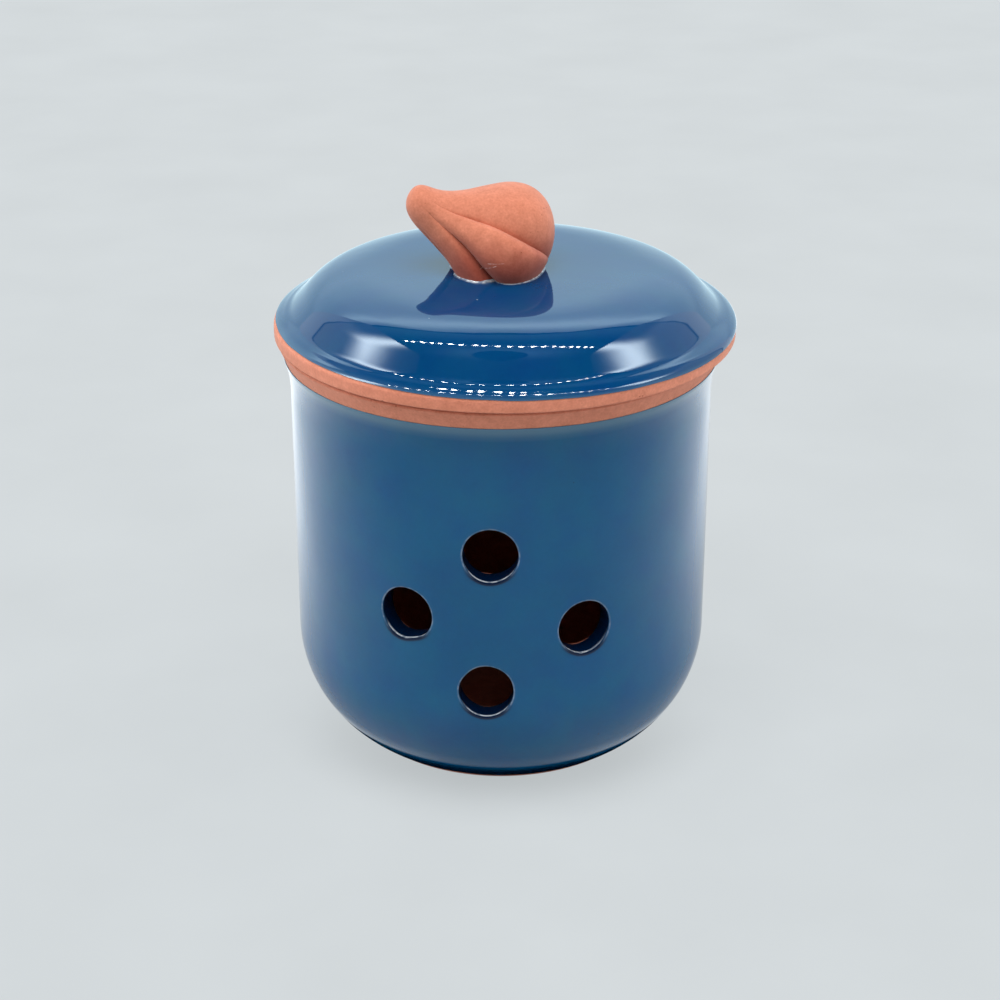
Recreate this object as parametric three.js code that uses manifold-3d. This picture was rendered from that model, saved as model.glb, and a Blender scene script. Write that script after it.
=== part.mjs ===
// A garlic keeper: a terracotta jar, glazed outside and pierced by four air holes, under a loose lid
// whose knob is modelled as a garlic bulb lying on its side.
// Millimetres, +Z up. The origin is the middle of the jar's foot, on the surface that the jar stands on.
// The front, which holds the air holes, faces -Y.
import * as THREE from "three";
import { mergeVertices } from "three/addons/utils/BufferGeometryUtils.js";
import Module from "manifold-3d";

const wasm = await Module();
wasm.setup();

// Glaze, and the clearance that every two neighbouring pieces keep
const glazeThickness = 0.5;
const gap = 0.3;
const glazeProud = 0.2; // how far the glaze stands out past the bare clay beside it

// Jar
const jarRadius = 50;
const jarHeight = 101.2;
const jarClay = 4.4;
const floorThickness = 5;
const bellyRadius = 30.8; // the round corner between the wall and the foot
const footRadius = 35;
const footHeight = 0.8; // bare clay under the glaze's lower edge
const footRingWidth = 6;
const footRecess = 1;
const footChamfer = 0.4;
const bareRim = 4.2; // height of the unglazed band at the top of the jar
const flareHeight = 13; // the wall's last stretch, which curves outwards
const flareOut = 2.9;
const rimRound = 1;

// Air holes, punched square to the wall
const holeDiameter = 13;
const holeHeight = 48.6; // middle of the pattern
const holeRise = 17.2; // from the middle to the upper and the lower hole
const holeTurn = THREE.MathUtils.degToRad(24.2); // from the middle to the left and the right hole
const holePlaceShares = [
  { turn: -0.115, rise: 1 },
  { turn: -1.06, rise: 0.03 },
  { turn: 0.93, rise: -0.14 },
  { turn: -0.165, rise: -1 },
];
const overrun = 2; // how far a cutting tool runs past what it cuts

// Lid
const lidRadius = 54.5;
const edgeHeight = 2.3; // from the seat up to the lid's widest circle
const lidClay = 5;
const lidPlay = 1.8; // all round, between the locating ring and the jar's inner wall
const lidShift = 0.9; // the lid lies this far to the right within its play
const crownFlat = 30; // radius of the nearly level crown
const crownCurve = 1150; // radius of the crown's own slight curve
const browCurve = 38.9;
const browSlope = THREE.MathUtils.degToRad(18);
const shoulderCurve = 13.8;
const shoulderSlope = THREE.MathUtils.degToRad(47);
const slantLength = 3.8;
const skirtCurve = 8; // the hollow between the slant and the skirt
const skirtSlope = THREE.MathUtils.degToRad(33);
const edgeRound = 1.9;
const glazeEdgeSlope = THREE.MathUtils.degToRad(60); // where the glaze ends on the rounded edge
const lipRound = 1.2;
const ringDepth = 6; // the locating ring that drops into the jar
const ringWall = 4;
const ringRound = 1;

// Knob: a small garlic bulb that points up to the left, luted onto the crown with slip
const bulbLength = 36.2;
const bulbRadius = 14.7;
const bulbSag = 0.5; // how far its middle hangs below its axis
const bulbTilt = THREE.MathUtils.degToRad(27.3);
const bulbHeading = THREE.MathUtils.degToRad(6); // towards the front
const rootOffset = 9.5; // root end, to the right of the lid's axis
const rootBack = 0.5;
const rootRise = 0.6; // above the crown
const bulbShares = [1.19, 1.34, 1.02, 0.62, 0.26, 0.62]; // radius from root to tip, as Bernstein weights
const lobeDepthShare = 0.16; // depth of the creases between the cloves, of the local radius
const lobeFadeShares = { from: 0.58, to: 0.93 }; // where along the bulb the creases run out
const creaseShares = [
  { at: -1.38, twist: 0.95, curl: 0.6 },
  { at: -0.36, twist: 0.95, curl: 0.6 },
  { at: 0.47, twist: 0.2, curl: 0.5 },
  { at: 2.22, twist: 0, curl: 0 },
  { at: 3.57, twist: 0.2, curl: 0 },
];
const slipRadius = 8;

// How finely the round shapes are cut
const roundSides = 64;
const holeSides = 20;
const arcError = 0.08; // how far a facet may lie inside its true arc
const bulbRings = 26;
const bulbSides = 44;

// Sizes that follow from those above
const clayDepth = glazeThickness + gap; // from the glazed surface down to the clay
const jarInnerRadius = jarRadius - clayDepth - jarClay;
const bellyCentre = jarRadius - bellyRadius;
const footAngle = Math.asin((footRadius + gap - bellyCentre) / (bellyRadius - glazeThickness));
const bellyHeight = footHeight + bellyRadius * Math.cos(footAngle);
const flareStart = jarHeight - flareHeight;
const flareCurve = (flareHeight ** 2 + flareOut ** 2) / (2 * flareOut);
const glazeTop = jarHeight - bareRim;
const floorTop = footRecess + floorThickness;
const seatHeight = jarHeight + gap;
const lidHeight = edgeHeight - domeBelow(0, Math.PI / 2).at(-1)[1]; // to the top of the glazed crown

const terracotta = { color: 0xc9785c, roughness: 0.85, metalness: 0 };
const blueGlaze = { color: 0x27507a, roughness: 0.12, metalness: 0 };
const firedSlip = { color: 0xb56c52, roughness: 0.95, metalness: 0 };

// Points of a circular arc about [r, z], as angles from straight down, turning outwards and up
function arc(centre, radius, from, to) {
  const widest = 2 * Math.acos(Math.max(0, 1 - arcError / Math.abs(radius)));
  const steps = Math.max(1, Math.ceil(Math.abs(to - from) / widest));
  return Array.from({ length: steps + 1 }, (_, i) => {
    const angle = from + ((to - from) * i) / steps;
    return [centre[0] + radius * Math.sin(angle), centre[1] - radius * Math.cos(angle)];
  });
}

// The jar's outside from the foot up to a height, at a depth under the glazed surface
function jarOutside(depth, fromAngle, top) {
  const belly = arc([bellyCentre, bellyHeight], bellyRadius - depth, fromAngle, Math.PI / 2);
  const curve = flareCurve + depth;
  const end = Math.asin((top - flareStart) / curve);
  const flare = arc([jarRadius + flareCurve, flareStart], curve, -Math.PI / 2, -Math.PI / 2 - end);
  return [...belly, ...flare];
}

// The dome of the lid from the axis outwards, at a depth under the glazed surface, with the crown at zero
function domeBelow(depth, lastSlope) {
  const stretches = [
    { bend: crownCurve, to: Math.asin(crownFlat / crownCurve) },
    { bend: browCurve, to: browSlope },
    { bend: shoulderCurve, to: shoulderSlope },
    { run: slantLength },
    { bend: -skirtCurve, to: skirtSlope },
    { reach: lidRadius - edgeRound * (1 - Math.sin(skirtSlope)) - depth * Math.sin(skirtSlope) },
    { bend: edgeRound, to: lastSlope },
  ];
  const points = [[0, -depth]];
  let slope = 0;
  for (const { bend, to, run, reach } of stretches) {
    const [r, z] = points.at(-1);
    if (bend) {
      const radius = bend - depth;
      const centre = [r - radius * Math.sin(slope), z - radius * Math.cos(slope)];
      points.push(...arc(centre, radius, Math.PI - slope, Math.PI - to).slice(1));
      slope = to;
    } else {
      const length = run ?? (reach - r) / Math.cos(slope);
      points.push([r + length * Math.cos(slope), z - length * Math.sin(slope)]);
    }
  }
  return points;
}

// The same outline at its height above the lid's seat
function lidDome(depth, lastSlope) {
  return domeBelow(depth, lastSlope).map(([r, z]) => [r, z + lidHeight]);
}

// The part of an outward line that lies within a radius, with its end on that radius
function within(points, radius) {
  const last = points.findIndex(([r]) => r > radius);
  const [[r0, z0], [r1, z1]] = [points[last - 1], points[last]];
  const share = (radius - r0) / (r1 - r0);
  return [...points.slice(0, last), [radius, z0 + (z1 - z0) * share]];
}

// Turns an outline of [radius, height] points about Z
function turned(outline) {
  const profile = outline.map(([r, z]) => new THREE.Vector2(r, z));
  return new THREE.LatheGeometry(profile, roundSides).rotateX(Math.PI / 2);
}

// A closed geometry as a solid that can be joined and cut
function solid(geometry) {
  const bare = geometry.clone();
  bare.deleteAttribute("normal");
  bare.deleteAttribute("uv");
  const merged = mergeVertices(bare);
  const corners = [];
  const index = merged.index.array;
  for (let i = 0; i < index.length; i += 3) {
    const [a, b, c] = index.slice(i, i + 3);
    if (a !== b && b !== c && c !== a) corners.push(a, b, c);
  }
  return new wasm.Manifold(
    new wasm.Mesh({
      numProp: 3,
      vertProperties: merged.attributes.position.array,
      triVerts: new Uint32Array(corners),
    }),
  );
}

function geometryOf(body) {
  const { vertProperties, triVerts } = body.getMesh();
  const geometry = new THREE.BufferGeometry();
  geometry.setAttribute("position", new THREE.BufferAttribute(vertProperties, 3));
  geometry.setIndex(new THREE.BufferAttribute(triVerts, 1));
  geometry.computeVertexNormals();
  return geometry;
}

function piece(name, body, finish) {
  const mesh = new THREE.Mesh(geometryOf(body), new THREE.MeshStandardMaterial(finish));
  mesh.name = name;
  return mesh;
}

// Rods that run from inside the jar out through the wall, one for each air hole
function holeRods(diameter) {
  const length = jarClay + clayDepth + flareOut + 2 * overrun;
  const middle = jarInnerRadius - overrun + length / 2;
  return holePlaceShares.map(({ turn, rise }) => {
    const rod = new THREE.CylinderGeometry(diameter / 2, diameter / 2, length, holeSides);
    rod.translate(0, -middle, 0);
    rod.rotateZ(turn * holeTurn);
    rod.translate(0, 0, holeHeight + rise * holeRise);
    return solid(rod);
  });
}

// The space inside the clay wall, up to the jar's mouth
function jarHollow() {
  const radius = jarInnerRadius - bellyCentre;
  const floorAngle = Math.acos((bellyHeight - floorTop) / radius);
  return [
    [0, floorTop],
    ...arc([bellyCentre, bellyHeight], radius, floorAngle, Math.PI / 2),
    [jarInnerRadius, jarHeight - rimRound],
  ];
}

function jarBody() {
  const clayBelly = bellyRadius - clayDepth;
  const footTopAngle = Math.asin((footRadius - bellyCentre) / clayBelly);
  const step = glazeTop + gap;
  const bareDepth = glazeProud;
  const bare = jarOutside(bareDepth, Math.PI / 2, jarHeight - rimRound).at(-1);
  const stepOut = jarOutside(bareDepth, Math.PI / 2, step).at(-1);
  const outline = [
    [0, footRecess],
    [footRadius - footRingWidth - footRecess, footRecess],
    [footRadius - footRingWidth, 0],
    [footRadius - footChamfer, 0],
    [footRadius, footChamfer],
    ...jarOutside(clayDepth, footTopAngle, step),
    stepOut,
    ...arc([bare[0] - rimRound, bare[1]], rimRound, Math.PI / 2, Math.PI),
    ...arc([jarInnerRadius + rimRound, jarHeight - rimRound], rimRound, -Math.PI, -Math.PI / 2),
    ...jarHollow().reverse().slice(1),
  ];
  const drilled = holeRods(holeDiameter + 2 * clayDepth);
  return drilled.reduce((clay, rod) => clay.subtract(rod), solid(turned(outline)));
}

// The coat on the jar's outside, with a lining through each air hole
function jarGlaze() {
  const outside = jarOutside(0, footAngle, glazeTop);
  const inside = jarOutside(glazeThickness, footAngle, glazeTop);
  const coat = solid(turned([...outside, ...inside.reverse(), outside[0]]));
  const [footEdge, topEdge] = [outside[0], outside.at(-1)];
  const whole = solid(turned([[0, footEdge[1]], ...outside, [0, topEdge[1]]]));
  const hollow = solid(turned([...jarHollow(), [0, jarHeight - rimRound]]));
  const lined = holeRods(holeDiameter + 2 * glazeThickness).reduce(
    (body, rod) => body.add(rod.intersect(whole).subtract(hollow)),
    coat,
  );
  return holeRods(holeDiameter).reduce((body, rod) => body.subtract(rod), lined);
}

function lidBody() {
  const stepSlope = glazeEdgeSlope + gap / edgeRound;
  const covered = lidDome(clayDepth, stepSlope);
  const bareRound = edgeRound - glazeProud;
  const widest = lidDome(glazeProud, Math.PI / 2).at(-1);
  const edge = arc([widest[0] - bareRound, widest[1]], bareRound, Math.PI - stepSlope, Math.PI / 2);
  const lip = arc([widest[0] - lipRound, lipRound], lipRound, Math.PI / 2, 0);
  const ringOuter = jarInnerRadius - lidPlay;
  const ringInner = ringOuter - ringWall;
  const underside = within(lidDome(clayDepth + lidClay, skirtSlope), ringInner);
  return solid(
    turned([
      ...covered,
      ...edge,
      ...lip,
      [ringOuter, 0],
      ...arc([ringOuter - ringRound, ringRound - ringDepth], ringRound, Math.PI / 2, 0),
      ...arc([ringInner + ringRound, ringRound - ringDepth], ringRound, 0, -Math.PI / 2),
      ...underside.reverse(),
    ].reverse()),
  );
}

// The coat over the dome, open under the knob where the slip joins it to the clay
function lidGlaze() {
  const outside = lidDome(0, glazeEdgeSlope);
  const inside = lidDome(glazeThickness, glazeEdgeSlope);
  const coat = solid(turned([...outside, ...inside.reverse()].reverse()));
  const radius = slipRadius + gap;
  const opening = new THREE.CylinderGeometry(radius, radius, 2 * (glazeThickness + overrun), roundSides);
  return coat.subtract(solid(opening.rotateX(Math.PI / 2).translate(0, 0, lidHeight)));
}

function knobSlip() {
  const disc = new THREE.CylinderGeometry(slipRadius, slipRadius, glazeThickness, roundSides);
  const middle = crownAt(slipRadius) - glazeThickness / 2;
  return solid(disc.rotateX(Math.PI / 2).translate(0, 0, middle));
}

// Height of the glazed crown at a distance from the lid's axis
function crownAt(radius) {
  return lidHeight - crownCurve + Math.sqrt(crownCurve ** 2 - radius ** 2);
}

function bernstein(weights, t) {
  const degree = weights.length - 1;
  let choose = 1;
  return weights.reduce((sum, weight, i) => {
    const term = weight * choose * t ** i * (1 - t) ** (degree - i);
    choose = (choose * (degree - i)) / (i + 1);
    return sum + term;
  }, 0);
}

// How full the bulb is at an angle round its axis: 1 on the back of a clove, less in a crease
function cloveFullness(t, angle) {
  const turn = 2 * Math.PI;
  const middle = t - 0.5;
  const creases = creaseShares.map(({ at, twist, curl }) => at + twist * middle + curl * middle ** 2);
  const run = THREE.MathUtils.smoothstep(t, lobeFadeShares.from, lobeFadeShares.to);
  for (const [i, start] of creases.entries()) {
    const end = i + 1 < creases.length ? creases[i + 1] : creases[0] + turn;
    const past = (((angle - start) % turn) + turn) % turn;
    if (past <= end - start) {
      const across = (2 * past) / (end - start) - 1;
      return 1 - lobeDepthShare * (1 - run) * Math.abs(across) ** 3;
    }
  }
  return 1;
}

// The whole bulb about its own axis, which runs from the root along +X to the tip, with +Z up
function bulb() {
  const points = [];
  const faces = [];
  for (let i = 0; i <= bulbRings; i++) {
    const t = (1 - Math.cos((Math.PI * i) / bulbRings)) / 2;
    const radius = bulbRadius * 2 * Math.sqrt(Math.max(0, t * (1 - t))) * bernstein(bulbShares, t);
    const sag = 4 * bulbSag * t * (1 - t);
    const pole = i === 0 || i === bulbRings;
    for (let j = 0; j < (pole ? 1 : bulbSides); j++) {
      const angle = (2 * Math.PI * j) / bulbSides;
      const reach = pole ? 0 : radius * cloveFullness(t, angle);
      points.push(bulbLength * t, reach * Math.cos(angle), reach * Math.sin(angle) - sag);
    }
  }
  const tip = points.length / 3 - 1;
  const at = (i, j) => 1 + (i - 1) * bulbSides + (j % bulbSides);
  for (let j = 0; j < bulbSides; j++) {
    faces.push(0, at(1, j + 1), at(1, j));
    for (let i = 1; i < bulbRings - 1; i++) {
      faces.push(at(i, j), at(i, j + 1), at(i + 1, j + 1));
      faces.push(at(i, j), at(i + 1, j + 1), at(i + 1, j));
    }
    faces.push(at(bulbRings - 1, j), at(bulbRings - 1, j + 1), tip);
  }
  const geometry = new THREE.BufferGeometry();
  geometry.setAttribute("position", new THREE.Float32BufferAttribute(points, 3));
  geometry.setIndex(faces);
  return geometry;
}

// The bulb laid on the crown, cut level where the slip holds it
function cloveKnob() {
  const laid = bulb();
  laid.rotateY(-bulbTilt);
  laid.rotateZ(Math.PI + bulbHeading);
  laid.translate(rootOffset, rootBack, lidHeight + rootRise);
  const foot = new THREE.BoxGeometry(2 * lidRadius, 2 * lidRadius, 2 * bulbLength);
  foot.translate(0, 0, crownAt(0) + gap - bulbLength);
  return solid(laid).subtract(solid(foot));
}

const jar = new THREE.Group();
jar.add(piece("jar_body", jarBody(), terracotta));
jar.add(piece("jar_glaze", jarGlaze(), blueGlaze));

const lid = new THREE.Group();
lid.position.set(lidShift, 0, seatHeight);
lid.add(piece("lid_body", lidBody(), terracotta));
lid.add(piece("lid_glaze", lidGlaze(), blueGlaze));
lid.add(piece("knob_slip", knobSlip(), firedSlip));
lid.add(piece("clove_knob", cloveKnob(), terracotta));

const garlicKeeper = new THREE.Group();
garlicKeeper.add(jar, lid);
export default garlicKeeper;
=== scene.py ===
"""Garlic keeper: a pierced terracotta jar under a blue glaze, with a loose domed lid and a garlic-bulb knob.

Metres, +Z up. The origin is the middle of the jar's foot and the front faces -Y.
"""

import math

import bmesh
import bpy
from bpy.props import FloatProperty, FloatVectorProperty, IntProperty, PointerProperty
from mathutils import Matrix, Vector, noise


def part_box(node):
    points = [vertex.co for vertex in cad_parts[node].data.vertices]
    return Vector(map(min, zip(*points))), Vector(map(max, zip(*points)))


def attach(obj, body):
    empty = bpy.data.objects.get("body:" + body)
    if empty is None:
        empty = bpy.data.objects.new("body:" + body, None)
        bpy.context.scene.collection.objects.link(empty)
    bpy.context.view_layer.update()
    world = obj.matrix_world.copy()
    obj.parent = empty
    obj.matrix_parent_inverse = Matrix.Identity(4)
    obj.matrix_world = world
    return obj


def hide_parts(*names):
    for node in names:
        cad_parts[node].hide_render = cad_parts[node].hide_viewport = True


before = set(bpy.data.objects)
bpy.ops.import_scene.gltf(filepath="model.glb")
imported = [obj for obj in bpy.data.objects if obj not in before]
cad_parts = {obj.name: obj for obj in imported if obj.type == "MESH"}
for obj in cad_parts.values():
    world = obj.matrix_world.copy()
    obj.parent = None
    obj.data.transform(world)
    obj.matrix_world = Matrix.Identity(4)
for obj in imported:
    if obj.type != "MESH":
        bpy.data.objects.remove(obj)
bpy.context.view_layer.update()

bl_info = {
    "name": "Garlic keeper",
    "version": (1, 0, 0),
    "blender": (4, 5, 0),
    "location": "3D View > Sidebar > Keeper",
    "description": "Makes a glazed garlic keeper piece by piece, and the studio that it stands in",
    "category": "Add Mesh",
}

MM = 0.001
TURN = 2 * math.pi
SAME_PLACE = 0.0005 * MM  # points nearer to each other than this are one point


def box_top(node):
    """Height of a frame node's highest point."""
    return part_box(node)[1].z


def box_middle_x(node):
    low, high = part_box(node)
    return (low.x + high.x) / 2


def box_half_width(node):
    low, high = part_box(node)
    return (high.x - low.x) / 2


# Sizes and colours that a user would change


def length(name, description, default):
    return FloatProperty(name=name, description=description, default=default, unit="LENGTH", precision=5)


def angle(name, description, degrees):
    return FloatProperty(name=name, description=description, default=math.radians(degrees), unit="ROTATION")


def colour(name, description, default):
    return FloatVectorProperty(
        name=name, description=description, default=default, subtype="COLOR", size=3, min=0, max=1
    )


def share(name, description, default):
    return FloatProperty(name=name, description=description, default=default, subtype="FACTOR", min=0, max=1)


def amount(name, description, default):
    return FloatProperty(name=name, description=description, default=default)


class KeeperJar(bpy.types.PropertyGroup):
    """Sizes of the jar"""

    radius: length("Radius", "Outer radius of the glazed wall", 50 * MM)
    height: length("Height", "Top of the bare rim", box_top("jar_body"))
    glaze_top: length("Glaze top", "Upper edge of the glaze", box_top("jar_glaze"))
    inner_radius: length("Inner radius", "Radius inside the clay wall", 44.8 * MM)
    belly_radius: length("Belly radius", "Round corner between wall and foot", 30.8 * MM)
    foot_radius: length("Foot radius", "Outer radius of the foot ring", 35.7 * MM)
    foot_height: length("Foot height", "Bare clay under the glaze", 0.8 * MM)
    foot_ring: length("Foot ring", "Width of the ring that the jar stands on", 6 * MM)
    foot_recess: length("Foot recess", "Depth of the hollow inside the foot ring", 1 * MM)
    floor: length("Floor", "Thickness of the jar's floor", 5 * MM)
    flare_height: length("Flare height", "Last stretch of the wall, which curves outwards", 13 * MM)
    flare_out: length("Flare", "How far the rim flares out", 3.2 * MM)
    rim_round: length("Rim rounding", "Radius on the rim's edges", 0.6 * MM)
    throwing_depth: length("Throwing rings", "Depth of the finger rings inside", 0.22 * MM)
    throwing_pitch: length("Ring pitch", "Distance between the finger rings", 7.5 * MM)


class KeeperHoles(bpy.types.PropertyGroup):
    """Sizes of the air holes"""

    radius: length("Radius", "Where the lip starts to turn in", 6.55 * MM)
    height: length("Height", "Middle of the pattern above the table", 48.6 * MM)
    droop: length("Droop", "How much lower the hole reaches than a round one", 0.5 * MM)
    rise: length("Rise", "From the middle to the upper and lower hole", 17.2 * MM)
    turn: angle("Turn", "From the middle to the left and right hole", 24.2)
    lip_width: length("Lip width", "How far the lip narrows the hole", 0.32 * MM)
    lip_depth: length("Lip depth", "How deep the lip is rounded", 0.8 * MM)
    lining_depth: length("Lining", "Depth of the glazed lining", 5.4 * MM)
    clearance: length("Clearance", "How much wider the clay is punched than the glaze", 0.4 * MM)


class KeeperLid(bpy.types.PropertyGroup):
    """Sizes of the lid"""

    radius: length("Radius", "Widest radius", box_half_width("lid_body") + 0.2 * MM)
    crown: length("Crown", "Height of the glazed crown", box_top("lid_glaze"))
    seat: length("Seat", "Height at which the lid rests", box_top("jar_body") + 0.6 * MM)
    shift: length("Shift", "How far the lid lies to the right", box_middle_x("lid_glaze"))
    clay: length("Clay", "Thickness of the dome", 5 * MM)
    crown_flat: length("Crown flat", "Radius of the nearly level crown", 30 * MM)
    crown_curve: length("Crown curve", "Radius of the crown's own curve", 1150 * MM)
    brow_curve: length("Brow curve", "Curve outside the crown", 38.9 * MM)
    brow_slope: angle("Brow slope", "Slope where the shoulder starts", 18)
    shoulder_curve: length("Shoulder curve", "Curve of the shoulder", 13.8 * MM)
    shoulder_slope: angle("Shoulder slope", "Steepest slope of the shoulder", 47)
    slant: length("Slant", "Straight stretch under the shoulder", 4.5 * MM)
    skirt_curve: length("Skirt curve", "Hollow between slant and skirt", 4.5 * MM)
    skirt_slope: angle("Skirt slope", "Slope of the skirt", 25.5)
    edge_round: length("Edge rounding", "Radius of the outer edge", 1.9 * MM)
    edge_height: length("Edge height", "From the seat up to the widest circle", 2.2 * MM)
    glaze_drop: length("Glaze drop", "How far above the widest circle the glaze ends", 0.95 * MM)
    glaze_tilt: length("Glaze tilt", "How much higher the glaze ends at the left than in front", 0.85 * MM)
    bead: length("Bead", "How much thicker the glaze is just above its lower edge", 0.1 * MM)
    bead_place: length("Bead place", "From the glaze's lower edge up to the bead", 2.7 * MM)
    bead_width: length("Bead width", "Half width of the bead", 0.7 * MM)
    lip_round: length("Lip rounding", "Radius of the lower edge", 0.45 * MM)
    ring_radius: length("Ring radius", "Outer radius of the locating ring", 43 * MM)
    ring_wall: length("Ring wall", "Thickness of the locating ring", 4 * MM)
    ring_depth: length("Ring depth", "How far the ring drops into the jar", 6 * MM)
    opening: length("Opening", "Radius left unglazed under the knob", 5 * MM)


class KeeperKnob(bpy.types.PropertyGroup):
    """Sizes of the garlic-bulb knob"""

    length: length("Length", "From root to tip", 35.9 * MM)
    radius: length("Radius", "Unit of the bulb's girth", 14.7 * MM)
    sag: length("Sag", "How far its middle hangs", 1.15 * MM)
    sway: length("Sway", "How far the root half rises and the tip half drops", 0.25 * MM)
    bow: length("Bow", "How far its middle rises against the thirds beside it", 0.44 * MM)
    tilt: angle("Tilt", "How far the tip points up", 28.8)
    heading: angle("Heading", "How far the tip points to the front", 5.9)
    root_x: length("Root X", "Root end, right of the lid's axis", 9.35 * MM)
    root_y: length("Root Y", "Root end, behind the lid's axis", 0.5 * MM)
    root_rise: length("Root rise", "Root end above the crown", 0.8 * MM)
    lobe_depth: share("Lobe depth", "Depth of the creases as a share of the girth", 0.205)
    incision: length("Incision", "Depth of the fine line along each crease", 0.16 * MM)
    unevenness: length("Unevenness", "Height of the dents left by fingers", 0.16 * MM)
    fillet: length("Fillet", "Reach of the glaze that creeps up to the knob", 0.75 * MM)
    slip_radius: length("Slip radius", "Radius of the slip under the knob", 8 * MM)


class KeeperFinish(bpy.types.PropertyGroup):
    """Colours and surface values"""

    coat: length("Glaze coat", "Thickness of the glaze", 0.19 * MM)
    step: length("Glaze step", "How far the glaze stands proud of the bare clay", 0.2 * MM)
    lid_glaze: colour("Lid glaze", "Blue of the glaze on the lid", (0.0006, 0.045, 0.148))
    # Painted light: the jar's blue is set lighter than the lid's blue of the same glaze, to brighten the
    # jar's upright wall
    jar_glaze: colour(
        "Jar glaze", "Blue of the glaze on the jar, which fired a little lighter", (0.0006, 0.082, 0.205)
    )
    # Pooled glaze and painted shade: darker blue in the air holes and above the jar's foot, where little
    # light falls
    pooled_glaze_and_shade: colour(
        "Pooled glaze", "Where the glaze runs together and lies thick", (0.0003, 0.008, 0.032)
    )
    # Painted highlight: a pale broken line along the air holes' lips and round the knob's foot, standing in
    # for light on the glaze's edge
    glaze_edge: colour(
        "Glaze edge", "Thin line where the glaze ends or turns a sharp edge", (0.66, 0.7, 0.74)
    )
    glaze_thin: colour("Thin glaze", "Where the glaze breaks over an edge", (0.085, 0.18, 0.265))
    clay: colour("Clay", "Bare fired terracotta", (0.655, 0.238, 0.15))
    knob: colour("Knob clay", "The knob's warmer clay", (0.6, 0.207, 0.124))
    slip: colour("Slip", "Fired slip under the knob", (0.5, 0.18, 0.1))
    glaze_roughness: share("Glaze roughness", "Roughness of the glaze", 0.045)
    clay_roughness: share("Clay roughness", "Roughness of bare clay", 0.82)


class KeeperStudio(bpy.types.PropertyGroup):
    """The floor, the tent that the glaze mirrors, the lamps and the camera"""

    floor: colour("Floor", "Colour of floor and backdrop", (0.405, 0.425, 0.44))
    floor_glow: share("Floor glow", "Share of the floor's look that no shadow darkens", 0.83)
    tent_half_width: length("Tent half width", "From the middle to a side wall", 220 * MM)
    tent_back: length("Tent back", "From the middle to the back wall", 185 * MM)
    tent_front: length("Tent front", "From the middle to the open front", 350 * MM)
    tent_foot: length("Tent foot", "Lower edge of the walls", 60 * MM)
    tent_top: length("Tent top", "Height of the roof", 420 * MM)
    light_around: amount("Light around", "Strength of the even light", 0.1)
    light_above: amount("Light above", "Strength added from above", 0.1)
    light_left: amount("Light left", "Strength added from the left", 2.2)
    light_right: amount("Light right", "Strength added from the right", 1.9)
    light_behind: amount("Light behind", "Strength added from behind", 0.2)
    light_front: amount("Light front", "Strength added from the front", -0.05)
    sun: amount("Sun", "Strength of the broad light from above", 2.6)
    sun_tilt: angle("Sun tilt", "How far that light leans to the front", 18)
    lamp_count: IntProperty(name="Diodes", description="Diodes in the roof's row", default=20, min=1)
    lamp_size: length("Diode size", "Radius of a diode", 4.4 * MM)
    camera_x: length("Camera X", "Camera place", -0.25 * MM)
    camera_y: length("Camera Y", "Camera place", -511.6 * MM)
    camera_z: length("Camera Z", "Camera place", 289.5 * MM)
    camera_pitch: angle("Camera pitch", "How far the camera looks down", 24.45)
    lens: FloatProperty(
        name="Lens", description="Focal length on a 36 mm sensor", default=82.8, unit="CAMERA"
    )


# Node trees and meshes: helpers


class Wire:
    """A node's output. Arithmetic with it makes Math nodes."""

    def __init__(self, tree, socket):
        self.tree = tree
        self.socket = socket

    def math(self, operation, *others):
        return calc(self.tree, operation, self, *others)

    def __add__(self, other):
        return self.math("ADD", other)

    def __sub__(self, other):
        return self.math("SUBTRACT", other)

    def __mul__(self, other):
        return self.math("MULTIPLY", other)

    def __truediv__(self, other):
        return self.math("DIVIDE", other)

    def __pow__(self, other):
        return self.math("POWER", other)

    def __rsub__(self, other):
        return calc(self.tree, "SUBTRACT", other, self)

    def __rpow__(self, other):
        return calc(self.tree, "POWER", other, self)

    __radd__ = __add__
    __rmul__ = __mul__


class Outputs:
    """The outputs of a node, read by name or number."""

    def __init__(self, tree, node):
        self.tree = tree
        self.node = node

    def __getitem__(self, key):
        return Wire(self.tree, self.node.outputs[key])


def fill(tree, node, inputs):
    """Links or sets each named input of a node."""
    for key, value in inputs.items():
        socket = node.inputs[key]
        if isinstance(value, Wire):
            tree.links.new(value.socket, socket)
        elif socket.type == "RGBA" and len(value) == 3:
            socket.default_value = (*value, 1)
        else:
            socket.default_value = value


def add_node(tree, kind, inputs=None, **settings):
    """The outputs of a new node with its settings and inputs."""
    node = tree.nodes.new(kind)
    for key, value in settings.items():
        setattr(node, key, value)
    fill(tree, node, inputs or {})
    return Outputs(tree, node)


def calc(tree, operation, *values):
    return add_node(tree, "ShaderNodeMath", dict(enumerate(values)), operation=operation)[0]


def smooth_step(value, low, high):
    """0 below low, 1 above high, and smooth between."""
    inputs = {"Value": value, "From Min": low, "From Max": high}
    return add_node(value.tree, "ShaderNodeMapRange", inputs, interpolation_type="SMOOTHSTEP")[0]


def mixed_colour(tree, factor, first, second, blend="MIX"):
    inputs = {0: factor, 6: first, 7: second}
    return add_node(tree, "ShaderNodeMix", inputs, data_type="RGBA", blend_type=blend)[2]


def separate(vector):
    return add_node(vector.tree, "ShaderNodeSeparateXYZ", {0: vector})


def combine(tree, x, y, z):
    return add_node(tree, "ShaderNodeCombineXYZ", {0: x, 1: y, 2: z})[0]


def vector_math(operation, vector, others, output="Vector"):
    """Vector arithmetic. The further inputs are given by number or name."""
    inputs = {0: vector, **others}
    return add_node(vector.tree, "ShaderNodeVectorMath", inputs, operation=operation)[output]


def noise_value(vector, scale, detail=2.0):
    inputs = {"Vector": vector, "Scale": scale, "Detail": detail}
    return add_node(vector.tree, "ShaderNodeTexNoise", inputs)[0]


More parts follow.
